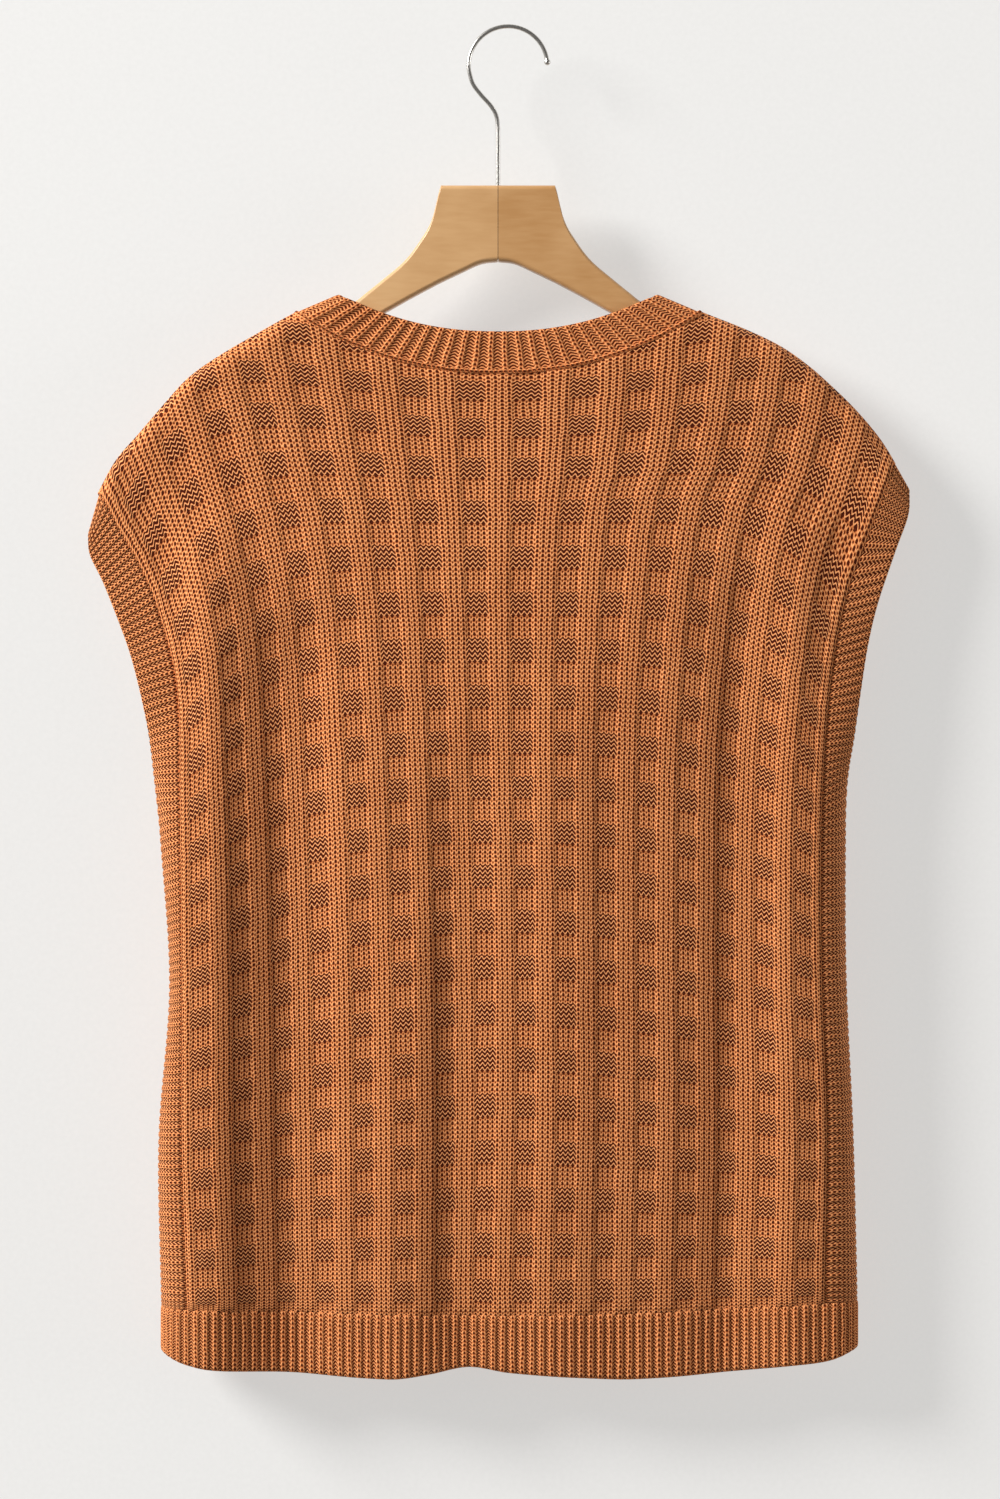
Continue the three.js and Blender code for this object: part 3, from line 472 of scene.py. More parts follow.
def band_face(side, hand, row, across):
    """A side band's plain face: row along the panel's seam, across 0 at the seam to 1 at its edge."""
    name = "left" if hand < 0 else "right"
    top = top_row(side, hand * float(HALF_COLUMNS))
    seam = cloth(side, hand * HALF_COLUMNS + 0 * row, row)
    q = mix(FIRST_ROW, BAND_EDGE["row"][-1], (row - FIRST_ROW) / (top - FIRST_ROW))
    x, z = along(BAND_EDGE, "row", q, f"x_{name}"), along(BAND_EDGE, "row", q, f"z_{name}")
    from_top = np.hypot(x - BAND_EDGE[f"x_{name}"][-1], z - BAND_EDGE[f"z_{name}"][-1])
    opened = np.maximum(HALF_GAP, along(BAND_EDGE, "row", q, "open") * turn_over(from_top))
    edge = np.stack([x, side * opened, z], axis=-1)
    fold = row >= top - 1e-6
    seam[..., 1] = np.where(fold, 0, seam[..., 1])
    edge[..., 1] = np.where(fold, 0, edge[..., 1])
    turn = (seam + edge) / 2
    corner = np.stack([edge[..., 0], seam[..., 1], turn[..., 2]], axis=-1)
    turn = mix(turn, corner, along(BAND_EDGE, "row", q, "square")[..., None])
    t = across[..., None]
    return seam * (1 - t) ** 2 + turn * 2 * t * (1 - t) + edge * t**2


def band_points(look, hand):
    """A side band from the back hem over the shoulder to the front hem."""
    top = float(top_row(-1, hand * float(HALF_COLUMNS)))
    half = rib_places(BAND_RIBS, KNIT_SHARE["band"], 8)
    ribs = np.concatenate([half, 2 * BAND_RIBS - half[-2::-1]])
    row = mix(FIRST_ROW, top, 1 - np.abs(ribs / BAND_RIBS - 1))
    side = np.where(ribs < BAND_RIBS, -1, 1)[None, :]

    def face(across):
        across, at = np.broadcast_arrays(across, row[None])
        halves = band_face(-1, hand, at, across), band_face(1, hand, at, across)
        return np.where(side[..., None] < 0, *halves)

    share = KNIT_SHARE["band"]
    base, n, lift = strip_points(look, STRIP_SECTION, face, ribs, share, relief=BAND_RELIEF)
    points = base + n * lift * -hand
    closed = row < UNDERARM_ROW + 0.3
    held = side * np.maximum(HALF_GAP, side * points[..., 1])
    points[..., 1] = np.where(closed, held, points[..., 1])
    return points, pattern_places(wale_places(ribs, share), 9 * STRIP_SECTION["across"][:, None])


def hem_points(look, side):
    """A hem from side seam to side seam, hanging from the bands and the panel."""
    at = np.linspace(0, 1, 60)
    first = np.full(60, FIRST_ROW)
    left, right = band_face(side, -1, first, at[::-1]), band_face(side, 1, first, at)
    panel = cloth(side, np.linspace(-HALF_COLUMNS, HALF_COLUMNS, 500), np.full(500, FIRST_ROW))
    line = np.concatenate([left[:-1], panel, right[1:]])
    flank, middle = HEM_RIBS["side"], HEM_RIBS["panel"]
    count = np.concatenate([
        np.linspace(0, flank, 60)[:-1], np.linspace(flank, flank + middle, 500),
        np.linspace(flank + middle, 2 * flank + middle, 60)[1:],
    ])
    share = KNIT_SHARE["hem"]
    ribs = rib_places(int(2 * flank + middle), share, 8)
    place = np.stack([np.interp(ribs, count, line[:, k]) for k in range(3)], axis=-1)
    bottom = place * (1, 0.93, 0)
    bottom[:, 2] = along(HEM_EDGE, "x", place[:, 0], "z")

    def face(across):
        return mix(place[None], bottom[None], across[..., None])

    base, n, lift = strip_points(look, STRIP_SECTION, face, ribs, share)
    points = keep_side(side, base + n * lift * side)
    return points, pattern_places(wale_places(ribs, share), -13 * STRIP_SECTION["across"][:, None])


def neck_face(side, u, across):
    """The neckband's plain face: u -1 to 1 from shoulder to shoulder, across 0 at the seam to 1."""
    seam_x, edge_x = NECK_SEAM_HALF * u, NECK_EDGE_HALF * u
    edge_z = mix(NECK_EDGE_Z[side], NECK_EDGE_SIDE_Z, np.abs(u) ** NECK_POWER)
    x = mix(seam_x, edge_x, across)
    z = mix(neck_seam_z(side, seam_x), edge_z, across)
    y = np.where(np.abs(u) > 1 - 1e-9, 0, side * depth(side, x, z))
    return np.stack([x, y, z], axis=-1)


def neck_places(side, shares):
    """Places u between the shoulders at shares of the way along the middle of the band."""
    fine = np.linspace(-1, 1, 1601)
    line = neck_face(side, fine, np.full(fine.shape, 0.5))
    reach = np.concatenate([[0], np.cumsum(np.linalg.norm(np.diff(line, axis=0), axis=1))])
    return np.interp(shares * reach[-1], reach, fine)


def neck_ring(back, fore):
    """The neckband's plain face as a ring: along the back, then along the front."""
    def face(across):
        halves = neck_face(-1, back[None, :-1], across), neck_face(1, fore[None, ::-1], across)
        ring = np.concatenate(halves, axis=1)
        ring[:, -1] = ring[:, 0]
        return ring
    return face


def neckband_points(look):
    """The neckband's ring of ribs."""
    share = KNIT_SHARE["neck"]
    places = [rib_places(NECK_RIBS[side], share, 10) / NECK_RIBS[side] for side in (-1, 1)]
    back, fore = (neck_places(side, at) for side, at in zip((-1, 1), places))
    ribs = [places[0][:-1] * NECK_RIBS[-1], NECK_RIBS[-1] + places[1] * NECK_RIBS[1]]
    ribs = np.concatenate(ribs)
    face = neck_ring(back, fore)
    base, n, lift = strip_points(look, STRIP_SECTION, face, ribs, share, around=True)
    courses = 9 * STRIP_SECTION["across"][:, None]
    return base + n * lift, pattern_places(wale_places(ribs, share), courses)


def neck_chain_points(look):
    """The chain of stitches along the neck seam, one for each wale."""
    loops = CHAIN_LOOPS
    places = [np.linspace(0, 1, 4 * loops[side] + 1) for side in (-1, 1)]
    back, fore = (neck_places(side, at) for side, at in zip((-1, 1), places))
    ribs = np.concatenate([places[0][:-1] * loops[-1], loops[-1] + places[1] * loops[1]])
    base, n, lift = strip_points(look, CHAIN_SECTION, neck_ring(back, fore), ribs, 0.5, around=True)
    return base + n * lift, pattern_places(0.5 + 4 * CHAIN_SECTION["across"][:, None], ribs)


def tube_points(path, radius, sides):
    """Points round a path in the plane of the hanger, with the pattern along it."""
    ahead = unit(np.gradient(path, axis=0))
    across = unit(np.cross(ahead, (0.0, 1.0, 0.0)))
    over = np.cross(across, ahead)
    angle = np.linspace(0, 2 * np.pi, sides + 1)[:, None, None]
    spread = np.asarray(radius)[None, :, None]
    points = path[None] + spread * (across[None] * np.cos(angle) + over[None] * np.sin(angle))
    points[-1] = points[0]
    reach = np.concatenate([[0], np.cumsum(np.linalg.norm(np.diff(path, axis=0), axis=1))])
    return points, pattern_places(reach[None], np.linspace(0, 1, sides + 1)[:, None])


def wood_points(hand, round_edge):
    """One half of the wooden hanger, section by section out to the end of the arm."""
    before, at_corner, after = HEAD_CORNER
    x = np.unique(np.concatenate([
        [JOINT_HALF_GAP], np.linspace(2, before, 14), np.linspace(before, after, 5),
        np.linspace(after, ARM_END, 110),
    ]))
    # The corner of the head stays sharp; below it the shape is a smooth curve.
    curve = {key: values[4:] for key, values in WOOD.items()}
    head_top = np.interp(x, WOOD["x"], WOOD["top"])
    top = np.where(x < at_corner, head_top, along(curve, "x", x, "top"))
    bottom = along(WOOD, "x", x, "bottom")
    # From the end of the shaped middle the arm settles under the shoulder of the cloth.
    slope = (shoulder_z(hand * (x + 2)) - shoulder_z(hand * (x - 2))) / 4
    under = shoulder_z(hand * x) - ARM_UNDER_CLOTH * np.hypot(1, slope)
    past = x - WOOD["x"][-1]
    arm_top = mix(WOOD["top"][-1] - past * ARM_SLOPE, under, smooth(past / 30))
    t = np.clip((x - ARM_START) / (ARM_END - ARM_START), 0, 1)
    arm, thinner = smooth((x - 80) / 10), smooth((x - 70) / 28)
    top = mix(top, arm_top, arm)
    bottom = mix(bottom, arm_top - mix(19, 13, t), arm)
    half = mix(6.0, mix(5.6, 4.2, t), thinner)
    tip = np.sqrt(np.maximum(0, 1 - np.clip((x - ARM_END + ARM_TIP) / ARM_TIP, 0, 1) ** 2))
    tip = np.maximum(tip, 0.12)
    middle = (top + bottom) / 2
    tall = (top - bottom) / 2 * tip
    half = half * np.maximum(tip, 0.3)
    corner = np.minimum(mix(round_edge, ARM_EDGE, thinner), np.minimum(half, tall) * 0.95)
    angle = np.linspace(0, 2 * np.pi, 49)[:-1] + np.pi / 48
    quarter = np.sign(np.stack([np.cos(angle), np.sin(angle)]))
    y = quarter[0][:, None] * (half - corner) + np.cos(angle)[:, None] * corner
    z = middle + quarter[1][:, None] * (tall - corner) + np.sin(angle)[:, None] * corner
    y, z = np.concatenate([y, y[:1]]), np.concatenate([z, z[:1]])
    points = np.stack([np.broadcast_to(hand * x, y.shape), y, z], axis=-1)
    pattern = np.stack([np.broadcast_to(x, y.shape), z], axis=-1)
    return points, pattern


def hook_path():
    """Middle line of the hook's wire."""
    stem = np.stack([HOOK_STEM["x"], HOOK_STEM["z"]], axis=-1)
    a = np.radians(np.linspace(*HOOK_ARC, 70))
    crown = np.stack([HOOK_RADIUS * np.cos(a), HOOK_RADIUS * np.sin(a)], axis=-1)
    crown = crown + (HOOK_SIDE_STEP, HOOK_TOP_Z - HOOK_RADIUS)
    rough = np.concatenate([stem, crown[:1]])
    reach = np.concatenate([[0], np.cumsum(np.linalg.norm(np.diff(rough, axis=0), axis=1))])
    table = columns("t x z", *zip(reach, rough[:, 0], rough[:, 1]))
    t = np.linspace(0, reach[-1], 90)[:-1]
    bend = np.stack([along(table, "t", t, "x"), along(table, "t", t, "z")], axis=-1)
    line = np.concatenate([bend, crown])
    return np.stack([line[:, 0], 0 * line[:, 0], line[:, 1]], axis=-1)


def colour(code):
    """A linear colour from an sRGB hex value."""
    part = [int(code[i:i + 2], 16) / 255 for i in (1, 3, 5)]
    return [p / 12.92 if p <= 0.04045 else ((p + 0.055) / 1.055) ** 2.4 for p in part]


def add(tree, kind, *inputs, stops=(), **settings):
    """Adds a node: operation after a dot, inputs in order, colour stops (place, tone), settings."""
    kind, _, operation = kind.partition(".")
    made = tree.nodes.new("ShaderNode" + kind)
    if operation:
        made.operation = operation
    for name, value in settings.items():
        setattr(made, name, value)
    for socket, value in zip(made.inputs, inputs):
        if isinstance(value, bpy.types.Node):
            value = value.outputs[0]
        if isinstance(value, bpy.types.NodeSocket):
            tree.links.new(value, socket)
        elif value is not None:
            socket.default_value = value
    for _ in stops[2:]:
        made.color_ramp.elements.new(0.5)
    for i, (place, tone) in enumerate(stops):
        made.color_ramp.elements[i].position = place
        made.color_ramp.elements[i].color = (*tone, 1)
    return made


def material(name, **sockets):
    """A new material: its node tree and its shader, with the shader's constants set."""
    made = bpy.data.materials.new(name)
    made.use_nodes = True
    shader = made.node_tree.nodes["Principled BSDF"]
    for socket, value in sockets.items():
        shader.inputs[socket.replace("_", " ")].default_value = value
    return made, made.node_tree, shader


# Stitch contrast of the panels, of hems and neckband, and of the side bands: dark line and dot at
# the middle of each V and at its sides, gaps in the yarn that the colour ramp paints dark as shade,
# strength of the strands, then middle, swing and pace of the waves on the reverse.
KNITS = columns(
    "line dot side_line side_dot strand middle swing pace",
    (0.26, 1.10, 0.06, 0.45, 0.16, 0.27, 0.86, 1.0),
    (0.38, 0.34, 0.20, 0.08, 0.18, 0.50, 0.42, 1.4),
    (0.12, 0.95, 0.25, 0.70, 0.16, 0.42, 0.60, 1.0),
)
KNIT_NAMES = ("blocks", "rib", "side_rib")


def stitch_height(tree, u, v, reverse, knit):
    """Height of the yarn, 0 in the gaps to 1 on top: V legs in front, waves on the reverse."""
    off = add(tree, "Math.ABSOLUTE", add(tree, "Math.SUBTRACT", add(tree, "Math.FRACT", u), 0.5))
    lean = add(tree, "Math.MULTIPLY", add(tree, "Math.ADD", v, off), 2 * math.pi)
    strand = add(tree, "Math.MULTIPLY_ADD", add(tree, "Math.COSINE", lean), knit["strand"], 0.86)
    beat = add(tree, "Math.COSINE", add(tree, "Math.MULTIPLY", v, 2 * math.pi))
    dot, side_dot = knit["dot"] / 2, knit["side_dot"] / 2
    middle = add(tree, "Math.MULTIPLY_ADD", beat, -dot, dot + knit["line"])
    side = add(tree, "Math.MULTIPLY_ADD", beat, side_dot, side_dot + knit["side_line"])
    near = add(tree, "MapRange", off, 0.06, 0.30, 1.0, 0.0, interpolation_type="SMOOTHSTEP")
    far = add(tree, "MapRange", off, 0.28, 0.46, 0.0, 1.0, interpolation_type="SMOOTHSTEP")
    gap = add(tree, "Math.MULTIPLY_ADD", near, middle, add(tree, "Math.MULTIPLY", far, side))
    legs = add(tree, "Math.SUBTRACT", strand, gap, use_clamp=True)
    wave = add(tree, "Math.COSINE", add(tree, "Math.MULTIPLY", u, 2 * math.pi))
    turn = add(tree, "Math.MULTIPLY_ADD", v, knit["pace"], add(tree, "Math.MULTIPLY", wave, 0.3))
    turn = add(tree, "Math.COSINE", add(tree, "Math.MULTIPLY", turn, 2 * math.pi))
    purl = add(tree, "Math.MULTIPLY_ADD", turn, knit["swing"], knit["middle"], use_clamp=True)
    return add(tree, "Mix", reverse, None, legs.outputs[0], purl.outputs[0])


def knit_material(name, look):
    """Knitted cotton yarn: round strands with a soft halo, with painted shade in the gaps between the
    stitches and on their flanks, and a painted highlight on their tops.
    """
    knit = {key: float(value[KNIT_NAMES.index(name)]) for key, value in KNITS.items()}
    ribbed = name != "blocks"
    made, tree, shader = material(
        f"knitted_cotton_{name}", Roughness=0.85, Specular_IOR_Level=0.1, Sheen_Weight=0.04,
        Sheen_Roughness=0.45, Sheen_Tint=(1.0, 0.75, 0.55, 1.0),
    )
    place = add(tree, "TexCoord").outputs["Object"]
    # Stitches drift by a fifth of a stitch over about 8 mm, as hand-fed yarn does.
    drift = add(tree, "TexNoise", place, None, 120.0, 1.0).outputs["Color"]
    drift = add(tree, "VectorMath.SUBTRACT", drift, (0.5, 0.5, 0.5))
    drift = add(tree, "VectorMath.SCALE", drift)
    drift.inputs["Scale"].default_value = 0.25 if ribbed else 0.5
    at = add(tree, "VectorMath.ADD", add(tree, "UVMap", uv_map="stitches"), drift)
    split = add(tree, "SeparateXYZ", at)
    u, v = split.outputs[0], split.outputs[1]
    if ribbed:
        side = add(tree, "Math.SUBTRACT", add(tree, "Math.FRACT", u), 0.5)
        side = add(tree, "Math.ABSOLUTE", side)
        reverse = add(tree, "MapRange", side, 0.235, 0.265, 0.0, 1.0)
        u = add(tree, "Math.MULTIPLY_ADD", u, 2.0, 0.5)
    else:
        column = add(tree, "Math.FRACT", add(tree, "Math.DIVIDE", u, WALES_PER_COLUMN))
        column = add(tree, "Math.ABSOLUTE", add(tree, "Math.SUBTRACT", column, 0.5))
        row = add(tree, "Math.FRACT", add(tree, "Math.MULTIPLY_ADD", v, 1 / COURSES_PER_ROW, 0.5))
        row = add(tree, "Math.ABSOLUTE", add(tree, "Math.SUBTRACT", row, 0.5))
        hollow = add(tree, "MapRange", column, 0.235, 0.265, 1.0, 0.0)
        block = add(tree, "MapRange", row, 0.235, 0.265, 1.0, 0.0)
        block = add(tree, "Math.MULTIPLY", hollow, block)
        reverse = add(tree, "Math.MAXIMUM", block, add(tree, "Math.LESS_THAN", v, -10.0))
    height = stitch_height(tree, u, v, reverse, knit)
    shade = height
    if not ribbed:
        # The hollow columns lie in the shade of the strips beside them.
        shade = add(tree, "Math.MULTIPLY_ADD", hollow, -0.02, height)
    # Loose fibres about 0.7 mm apart break up each strand, and the dye varies over about 35 mm.
    fibre = add(tree, "TexNoise", place, None, 1400.0, 2.0)
    fibre = add(tree, "Math.SUBTRACT", fibre, 0.5)
    patch = add(tree, "TexNoise", place, None, 28.0, 2.0)
    patch = add(tree, "Math.SUBTRACT", patch, 0.5)
    shade = add(tree, "Math.MULTIPLY_ADD", fibre, 0.34, shade)
    shade = add(tree, "Math.MULTIPLY_ADD", patch, 0.12, shade, use_clamp=True)
    # Painted shade and highlight: from the yarn's height the ramp paints shade in the gaps and on the
    # flanks of the stitches and a highlight on their tops; the fibre and dye noise added before it is
    # the yarn's own tone.
    tone = add(tree, "ValToRGB", shade, stops=(
        (0.15, look.gap_painted_shade), (0.40, look.flank_painted_shade), (0.70, look.yarn_colour),
        (1.0, look.painted_highlight),
    ))
    tree.links.new(tone.outputs[0], shader.inputs["Base Color"])
    bump = add(tree, "Bump", 1.0, 0.0005)
    tree.links.new(height.outputs[0], bump.inputs["Height"])
    tree.links.new(bump.outputs[0], shader.inputs["Normal"])
    return made


def wood_material(look):
    """Varnished beech: fine flecks and faint long grain under a satin coat."""
    made, tree, shader = material(
        "varnished_beech", Roughness=0.42, Coat_Weight=0.35, Coat_Roughness=0.25,
    )
    place = add(tree, "TexCoord").outputs["Object"]
    stretch = add(tree, "Mapping", place)
    stretch.inputs["Rotation"].default_value = (0, math.radians(-27), 0)
    stretch.inputs["Scale"].default_value = (18, 110, 110)
    grain = add(tree, "TexNoise", stretch, None, 4.0, 4.0)
    cloud = add(tree, "TexNoise", place, None, 22.0, 2.0)
    shade = add(tree, "Math.MULTIPLY_ADD", cloud, 0.7, add(tree, "Math.MULTIPLY", grain, 0.3))
    # The two boards differ a little in tone.
    x = add(tree, "SeparateXYZ", place)
    board = add(tree, "Math.SIGN", add(tree, "Math.ADD", x, HOOK_SIDE_STEP / 1000))
    shade = add(tree, "Math.MULTIPLY_ADD", board, -0.09, shade)
    stops = (0.25, look.wood_dark), (0.75, look.wood_colour)
    tone = add(tree, "ValToRGB", shade, stops=stops)
    tree.links.new(tone.outputs[0], shader.inputs["Base Color"])
    bump = add(tree, "Bump", 0.15, 0.0002)
    tree.links.new(grain.outputs[0], bump.inputs["Height"])
    tree.links.new(bump.outputs[0], shader.inputs["Normal"])
    return made


def wire_material(look):
    """Nickel-plated steel wire: satin, with faint drawing marks."""
    made, tree, shader = material("nickel_plated_wire", Metallic=1.0)
    place = add(tree, "TexCoord").outputs["Object"]
    marks = add(tree, "TexNoise", place, None, 900.0, 2.0)
    tone = add(tree, "ValToRGB", marks, stops=((0.3, look.wire_dark), (0.7, look.wire_colour)))
    tree.links.new(tone.outputs[0], shader.inputs["Base Color"])
    rough = add(tree, "MapRange", marks, 0.0, 1.0, 0.22, 0.36)
    tree.links.new(rough.outputs[0], shader.inputs["Roughness"])
    return made


def wall_material(look):
    """Matt wall paint with a faint roller texture; it lets a camera behind it look through."""
    made, tree, shader = material(
        "matt_wall_paint", Roughness=0.9, Emission_Color=(1.0, 0.99, 0.97, 1.0), Emission_Strength=0.56,
    )
    place = add(tree, "TexCoord").outputs["Object"]
    roller = add(tree, "TexNoise", place, None, 350.0, 3.0)
    tone = add(tree, "ValToRGB", roller, stops=((0.3, look.wall_shade), (0.7, look.wall_colour)))
    tree.links.new(tone.outputs[0], shader.inputs["Base Color"])
    behind = add(tree, "NewGeometry").outputs["Backfacing"]
    through = add(tree, "MixShader", behind, shader, add(tree, "BsdfTransparent"))
    tree.links.new(through.outputs[0], tree.nodes["Material Output"].inputs["Surface"])
    return made


class VestSettings(bpy.types.PropertyGroup):
    """Sizes and colours of the vest, its hanger and the wall."""

    wall: bpy.props.FloatProperty(
        name="Knit thickness", description="Thickness of the knitted wall", default=0.0019,
        unit="LENGTH", subtype="DISTANCE")
    strip_relief: bpy.props.FloatProperty(
        name="Strip relief", description="How far the knit strips stand proud", default=0.0013,
        unit="LENGTH", subtype="DISTANCE")
    block_relief: bpy.props.FloatProperty(
        name="Block relief", description="How far the reverse stitch blocks stand proud",
        default=0.0006, unit="LENGTH", subtype="DISTANCE")
    rib_relief: bpy.props.FloatProperty(
        name="Rib relief", description="Height of a rib on bands and hems", default=0.0009,
        unit="LENGTH", subtype="DISTANCE")
    wood_edge: bpy.props.FloatProperty(
        name="Wood edge", description="Rounding of the hanger's edges", default=0.0030,
        unit="LENGTH", subtype="DISTANCE")
    wire_radius: bpy.props.FloatProperty(
        name="Wire radius", description="Radius of the hook's wire", default=0.0013,
        unit="LENGTH", subtype="DISTANCE")
    # Painted shade: the yarn's colour in the gaps between the stitches, where the shade is deepest.
    gap_painted_shade: bpy.props.FloatVectorProperty(
        name="Gap colour", description="Yarn deep between the stitches", subtype="COLOR",
        default=colour("#491403"))
    # Painted shade: the yarn's colour on the flanks of the stitches.
    flank_painted_shade: bpy.props.FloatVectorProperty(
        name="Shade colour", description="Yarn on the flank of a stitch", subtype="COLOR",
        default=colour("#944015"))
    yarn_colour: bpy.props.FloatVectorProperty(
        name="Yarn colour", description="Yarn on top of a stitch", subtype="COLOR",
        default=colour("#DB8850"))
    # Painted highlight: the yarn's colour on the tops of the stitches, where they catch the light.
    painted_highlight: bpy.props.FloatVectorProperty(
        name="Light colour", description="Yarn where its fibres catch the light", subtype="COLOR",
        default=colour("#FBAE72"))
    wood_colour: bpy.props.FloatVectorProperty(
        name="Wood colour", description="Light grain of the hanger", subtype="COLOR",
        default=colour("#D9AC78"))
    wood_dark: bpy.props.FloatVectorProperty(
        name="Wood grain colour", description="Dark grain of the hanger", subtype="COLOR",
        default=colour("#BC8A54"))
    wire_colour: bpy.props.FloatVectorProperty(
        name="Wire colour", description="Plating of the hook", subtype="COLOR",
        default=colour("#D6D3CE"))
    wire_dark: bpy.props.FloatVectorProperty(
        name="Wire mark colour", description="Faint marks in the plating", subtype="COLOR",
        default=colour("#BBB7B0"))
    wall_colour: bpy.props.FloatVectorProperty(
        name="Wall colour", description="Paint of the wall", subtype="COLOR",
        default=colour("#979694"))
    wall_shade: bpy.props.FloatVectorProperty(
        name="Wall texture colour", description="Paint in the roller's texture", subtype="COLOR",
        default=colour("#92918F"))


def settings(context):
    """The vest's settings."""
    return context.scene.vest


def shared_knit(name, look):
    """One of the three knits, made once."""
    return bpy.data.materials.get(f"knitted_cotton_{name}") or knit_material(name, look)


class VEST_OT_panels(bpy.types.Operator):
    """Build the knitted back and front"""

    bl_idname = "vest.panels"
    bl_label = "Back and front"

    def execute(self, context):
        look = settings(context)
        for side, name in ((-1, "back"), (1, "front")):
            outside = grid("outside", panel_points(look, side, *PANEL_QUADS, False))
            inside = grid("inside", panel_points(look, side, *INSIDE_QUADS, True))
            knit = shared_knit("blocks", look)
            made = finish(f"knit_{name}", [outside, inside], knit, bridge=True)
            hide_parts(f"{name}_panel")
        return {"FINISHED"}


class VEST_OT_side_bands(bpy.types.Operator):
    """Build the ribbed strips along the armholes and sides"""

    bl_idname = "vest.side_bands"
    bl_label = "Side bands"

    def execute(self, context):
        look = settings(context)
        for hand, name in ((-1, "left"), (1, "right")):
            strip = grid("strip", band_points(look, hand))
            made = finish(f"rib_side_{name}", [strip], shared_knit("side_rib", look))
            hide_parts(f"side_band_{name}")
        return {"FINISHED"}


class VEST_OT_hems(bpy.types.Operator):
    """Build the ribbed hems of back and front"""

    bl_idname = "vest.hems"
    bl_label = "Hems"

    def execute(self, context):
        look = settings(context)
        for side, name in ((-1, "back"), (1, "front")):
            strip = grid("strip", hem_points(look, side))
            made = finish(f"rib_hem_{name}", [strip], shared_knit("rib", look))
            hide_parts(f"hem_{name}")
        return {"FINISHED"}


class VEST_OT_neckband(bpy.types.Operator):
    """Build the ribbed neckband"""

    bl_idname = "vest.neckband"
    bl_label = "Neckband"

    def execute(self, context):
        look = settings(context)
        ring = grid("ring", neckband_points(look))
        made = finish("rib_neckband", [ring], shared_knit("rib", look))
        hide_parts("neckband")
        chain = grid("chain", neck_chain_points(look))
        seam = finish("chain_neck_seam", [chain], shared_knit("rib", look))
        return {"FINISHED"}


class VEST_OT_hanger(bpy.types.Operator):
    """Build the two glued halves of the wooden hanger"""

    bl_idname = "vest.hanger"
    bl_label = "Hanger"

    def execute(self, context):
        look = settings(context)
        varnished = wood_material(look)
        for hand, name in ((-1, "left"), (1, "right")):
            body = grid("body", wood_points(hand, look.wood_edge * 1000))
            made = finish(f"wood_{name}", [body], varnished)
            flat = made.modifiers.new("flat faces", "WEIGHTED_NORMAL")
            flat.keep_sharp = True
            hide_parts(f"hanger_{name}")
        return {"FINISHED"}


class VEST_OT_hook(bpy.types.Operator):
    """Build the hanger's wire hook with its ball tip"""

    bl_idname = "vest.hook"
    bl_label = "Hook"

    def execute(self, context):
        look = settings(context)
        path = hook_path()
        ahead = path[-1] - path[-2]
        ahead /= np.linalg.norm(ahead)
        out = np.linspace(0.35, 1.0, 9)[1:]
        centre = path[-1] + ahead * BALL_STEP
        tip = centre[None] - ahead * BALL_RADIUS * np.cos(np.pi * out)[:, None]
        radius = np.concatenate([
            np.full(len(path), look.wire_radius * 1000),
            np.maximum(BALL_RADIUS * np.sin(np.pi * out), 0.02),
        ])
        wire = grid("wire", tube_points(np.concatenate([path, tip]), radius, 20))
        made = finish("wire_hook", [wire], wire_material(look))
        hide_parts("hanger_hook")
        return {"FINISHED"}


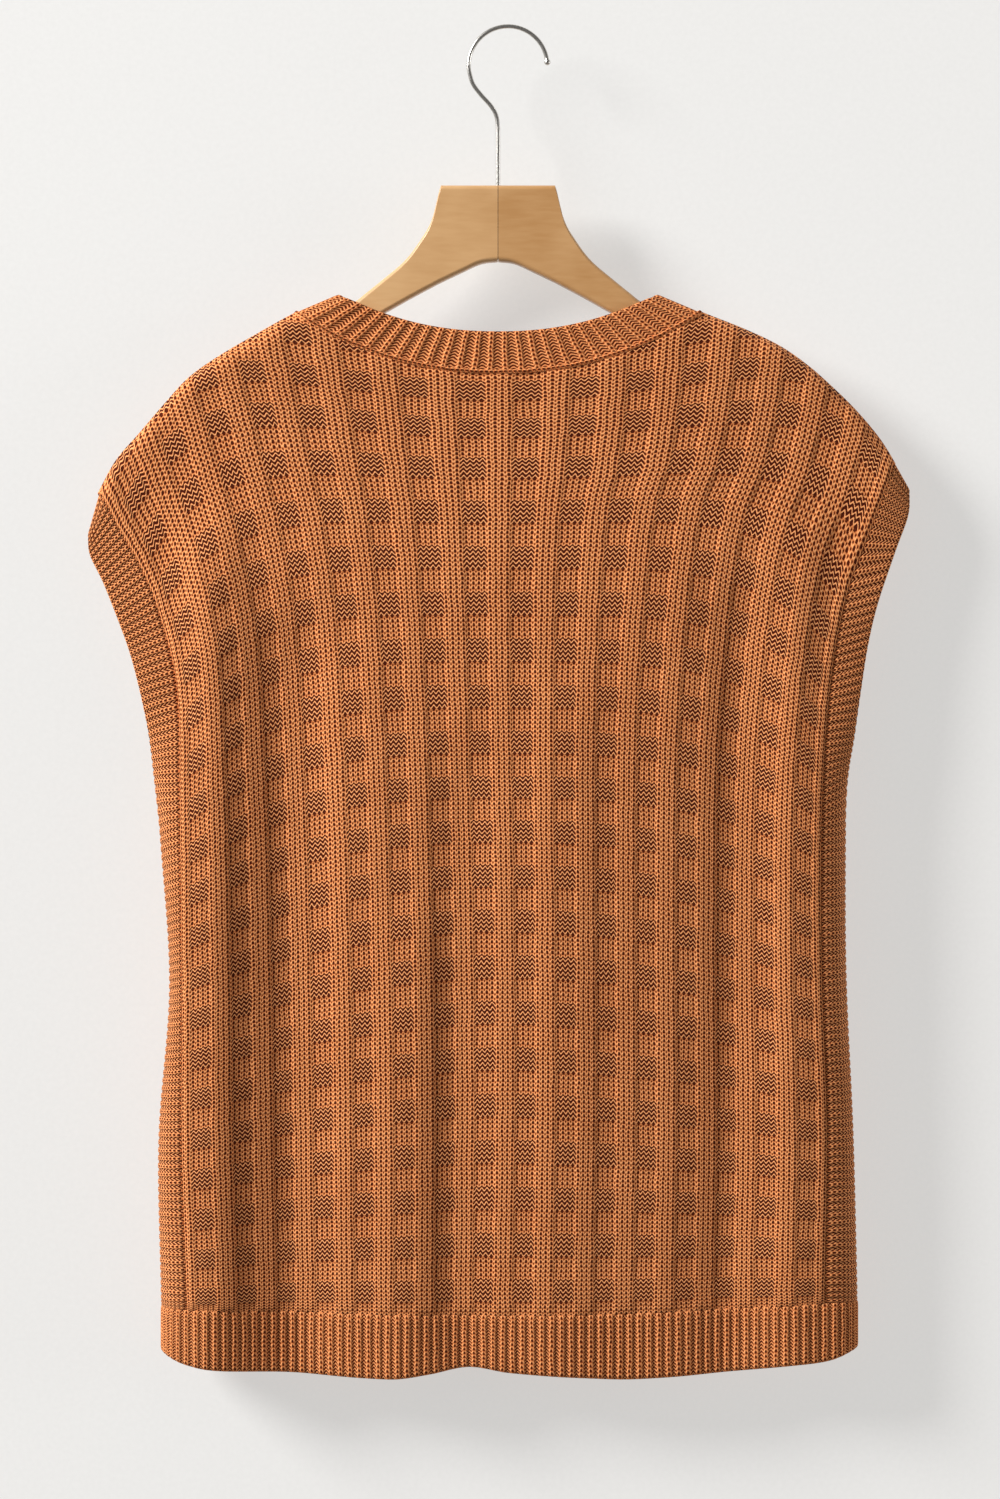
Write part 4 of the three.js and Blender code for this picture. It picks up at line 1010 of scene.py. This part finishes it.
class VEST_OT_stage(bpy.types.Operator):
    """Set up the wall, the soft light and the camera"""

    bl_idname = "vest.stage"
    bl_label = "Wall, light and camera"

    def execute(self, context):
        look = settings(context)
        scene = context.scene
        bm = bmesh.new()
        bmesh.ops.create_grid(bm, x_segments=1, y_segments=1, size=WALL_HALF_SIZE)
        upright = Vector((0, 0, 1)).rotation_difference(Vector((0, -1, 0))).to_matrix()
        bmesh.ops.rotate(bm, verts=bm.verts, matrix=upright)
        bmesh.ops.translate(bm, verts=bm.verts, vec=(0, WALL_Y, AIM[2]))
        mesh = bpy.data.meshes.new("wall")
        bm.to_mesh(mesh)
        bm.free()
        mesh.materials.append(wall_material(look))
        wall = bpy.data.objects.new("wall", mesh)
        scene.collection.objects.link(wall)

        world = bpy.data.worlds.new("room")
        world.use_nodes = True
        world.node_tree.nodes["Background"].inputs["Color"].default_value = ROOM_COLOUR
        world.node_tree.nodes["Background"].inputs["Strength"].default_value = ROOM_STRENGTH
        scene.world = world
        for name, row in LAMPS.items():
            light = bpy.data.lights.new(name, "AREA")
            light.energy = row["power"]
            light.shape = "DISK"
            light.size = row["size"]
            lamp = bpy.data.objects.new(name, light)
            lamp.location = row["place"]
            ahead = Vector(AIM) - Vector(row["place"])
            lamp.rotation_euler = ahead.to_track_quat("-Z", "Y").to_euler()
            scene.collection.objects.link(lamp)

        camera = bpy.data.cameras.new("camera")
        camera.sensor_fit = "AUTO"
        camera.sensor_width = SENSOR_WIDTH
        camera.lens = SENSOR_WIDTH * CAMERA_AWAY / FRAME_HEIGHT
        eye = bpy.data.objects.new("camera", camera)
        eye.location = (CAMERA_X, -CAMERA_AWAY / 1000, CAMERA_Z)
        eye.rotation_euler = (math.pi / 2, 0, 0)
        scene.collection.objects.link(eye)
        scene.camera = eye
        scene.view_settings.view_transform = "Standard"
        return {"FINISHED"}


OPERATORS = (
    VEST_OT_hanger, VEST_OT_hook, VEST_OT_panels, VEST_OT_side_bands, VEST_OT_hems,
    VEST_OT_neckband, VEST_OT_stage,
)


class VEST_PT_build(bpy.types.Panel):
    """Lists the pieces of the vest"""

    bl_idname = "VEST_PT_build"
    bl_label = "Knitted vest"
    bl_space_type = "VIEW_3D"
    bl_region_type = "UI"
    bl_category = "Vest"

    def draw(self, context):
        for name in VestSettings.__annotations__:
            self.layout.prop(settings(context), name)
        for operator in OPERATORS:
            self.layout.operator(operator.bl_idname)


CLASSES = (VestSettings, *OPERATORS, VEST_PT_build)


def register():
    """Registers the classes and hangs the settings on the scene."""
    for made in CLASSES:
        bpy.utils.register_class(made)
    bpy.types.Scene.vest = bpy.props.PointerProperty(type=VestSettings)


def unregister():
    """Takes the settings and the classes away again."""
    del bpy.types.Scene.vest
    for made in reversed(CLASSES):
        bpy.utils.unregister_class(made)


def main():
    """Builds every piece in order."""
    register()
    for operator in OPERATORS:
        group, name = operator.bl_idname.split(".")
        getattr(getattr(bpy.ops, group), name)()


if __name__ == "__main__":
    main()
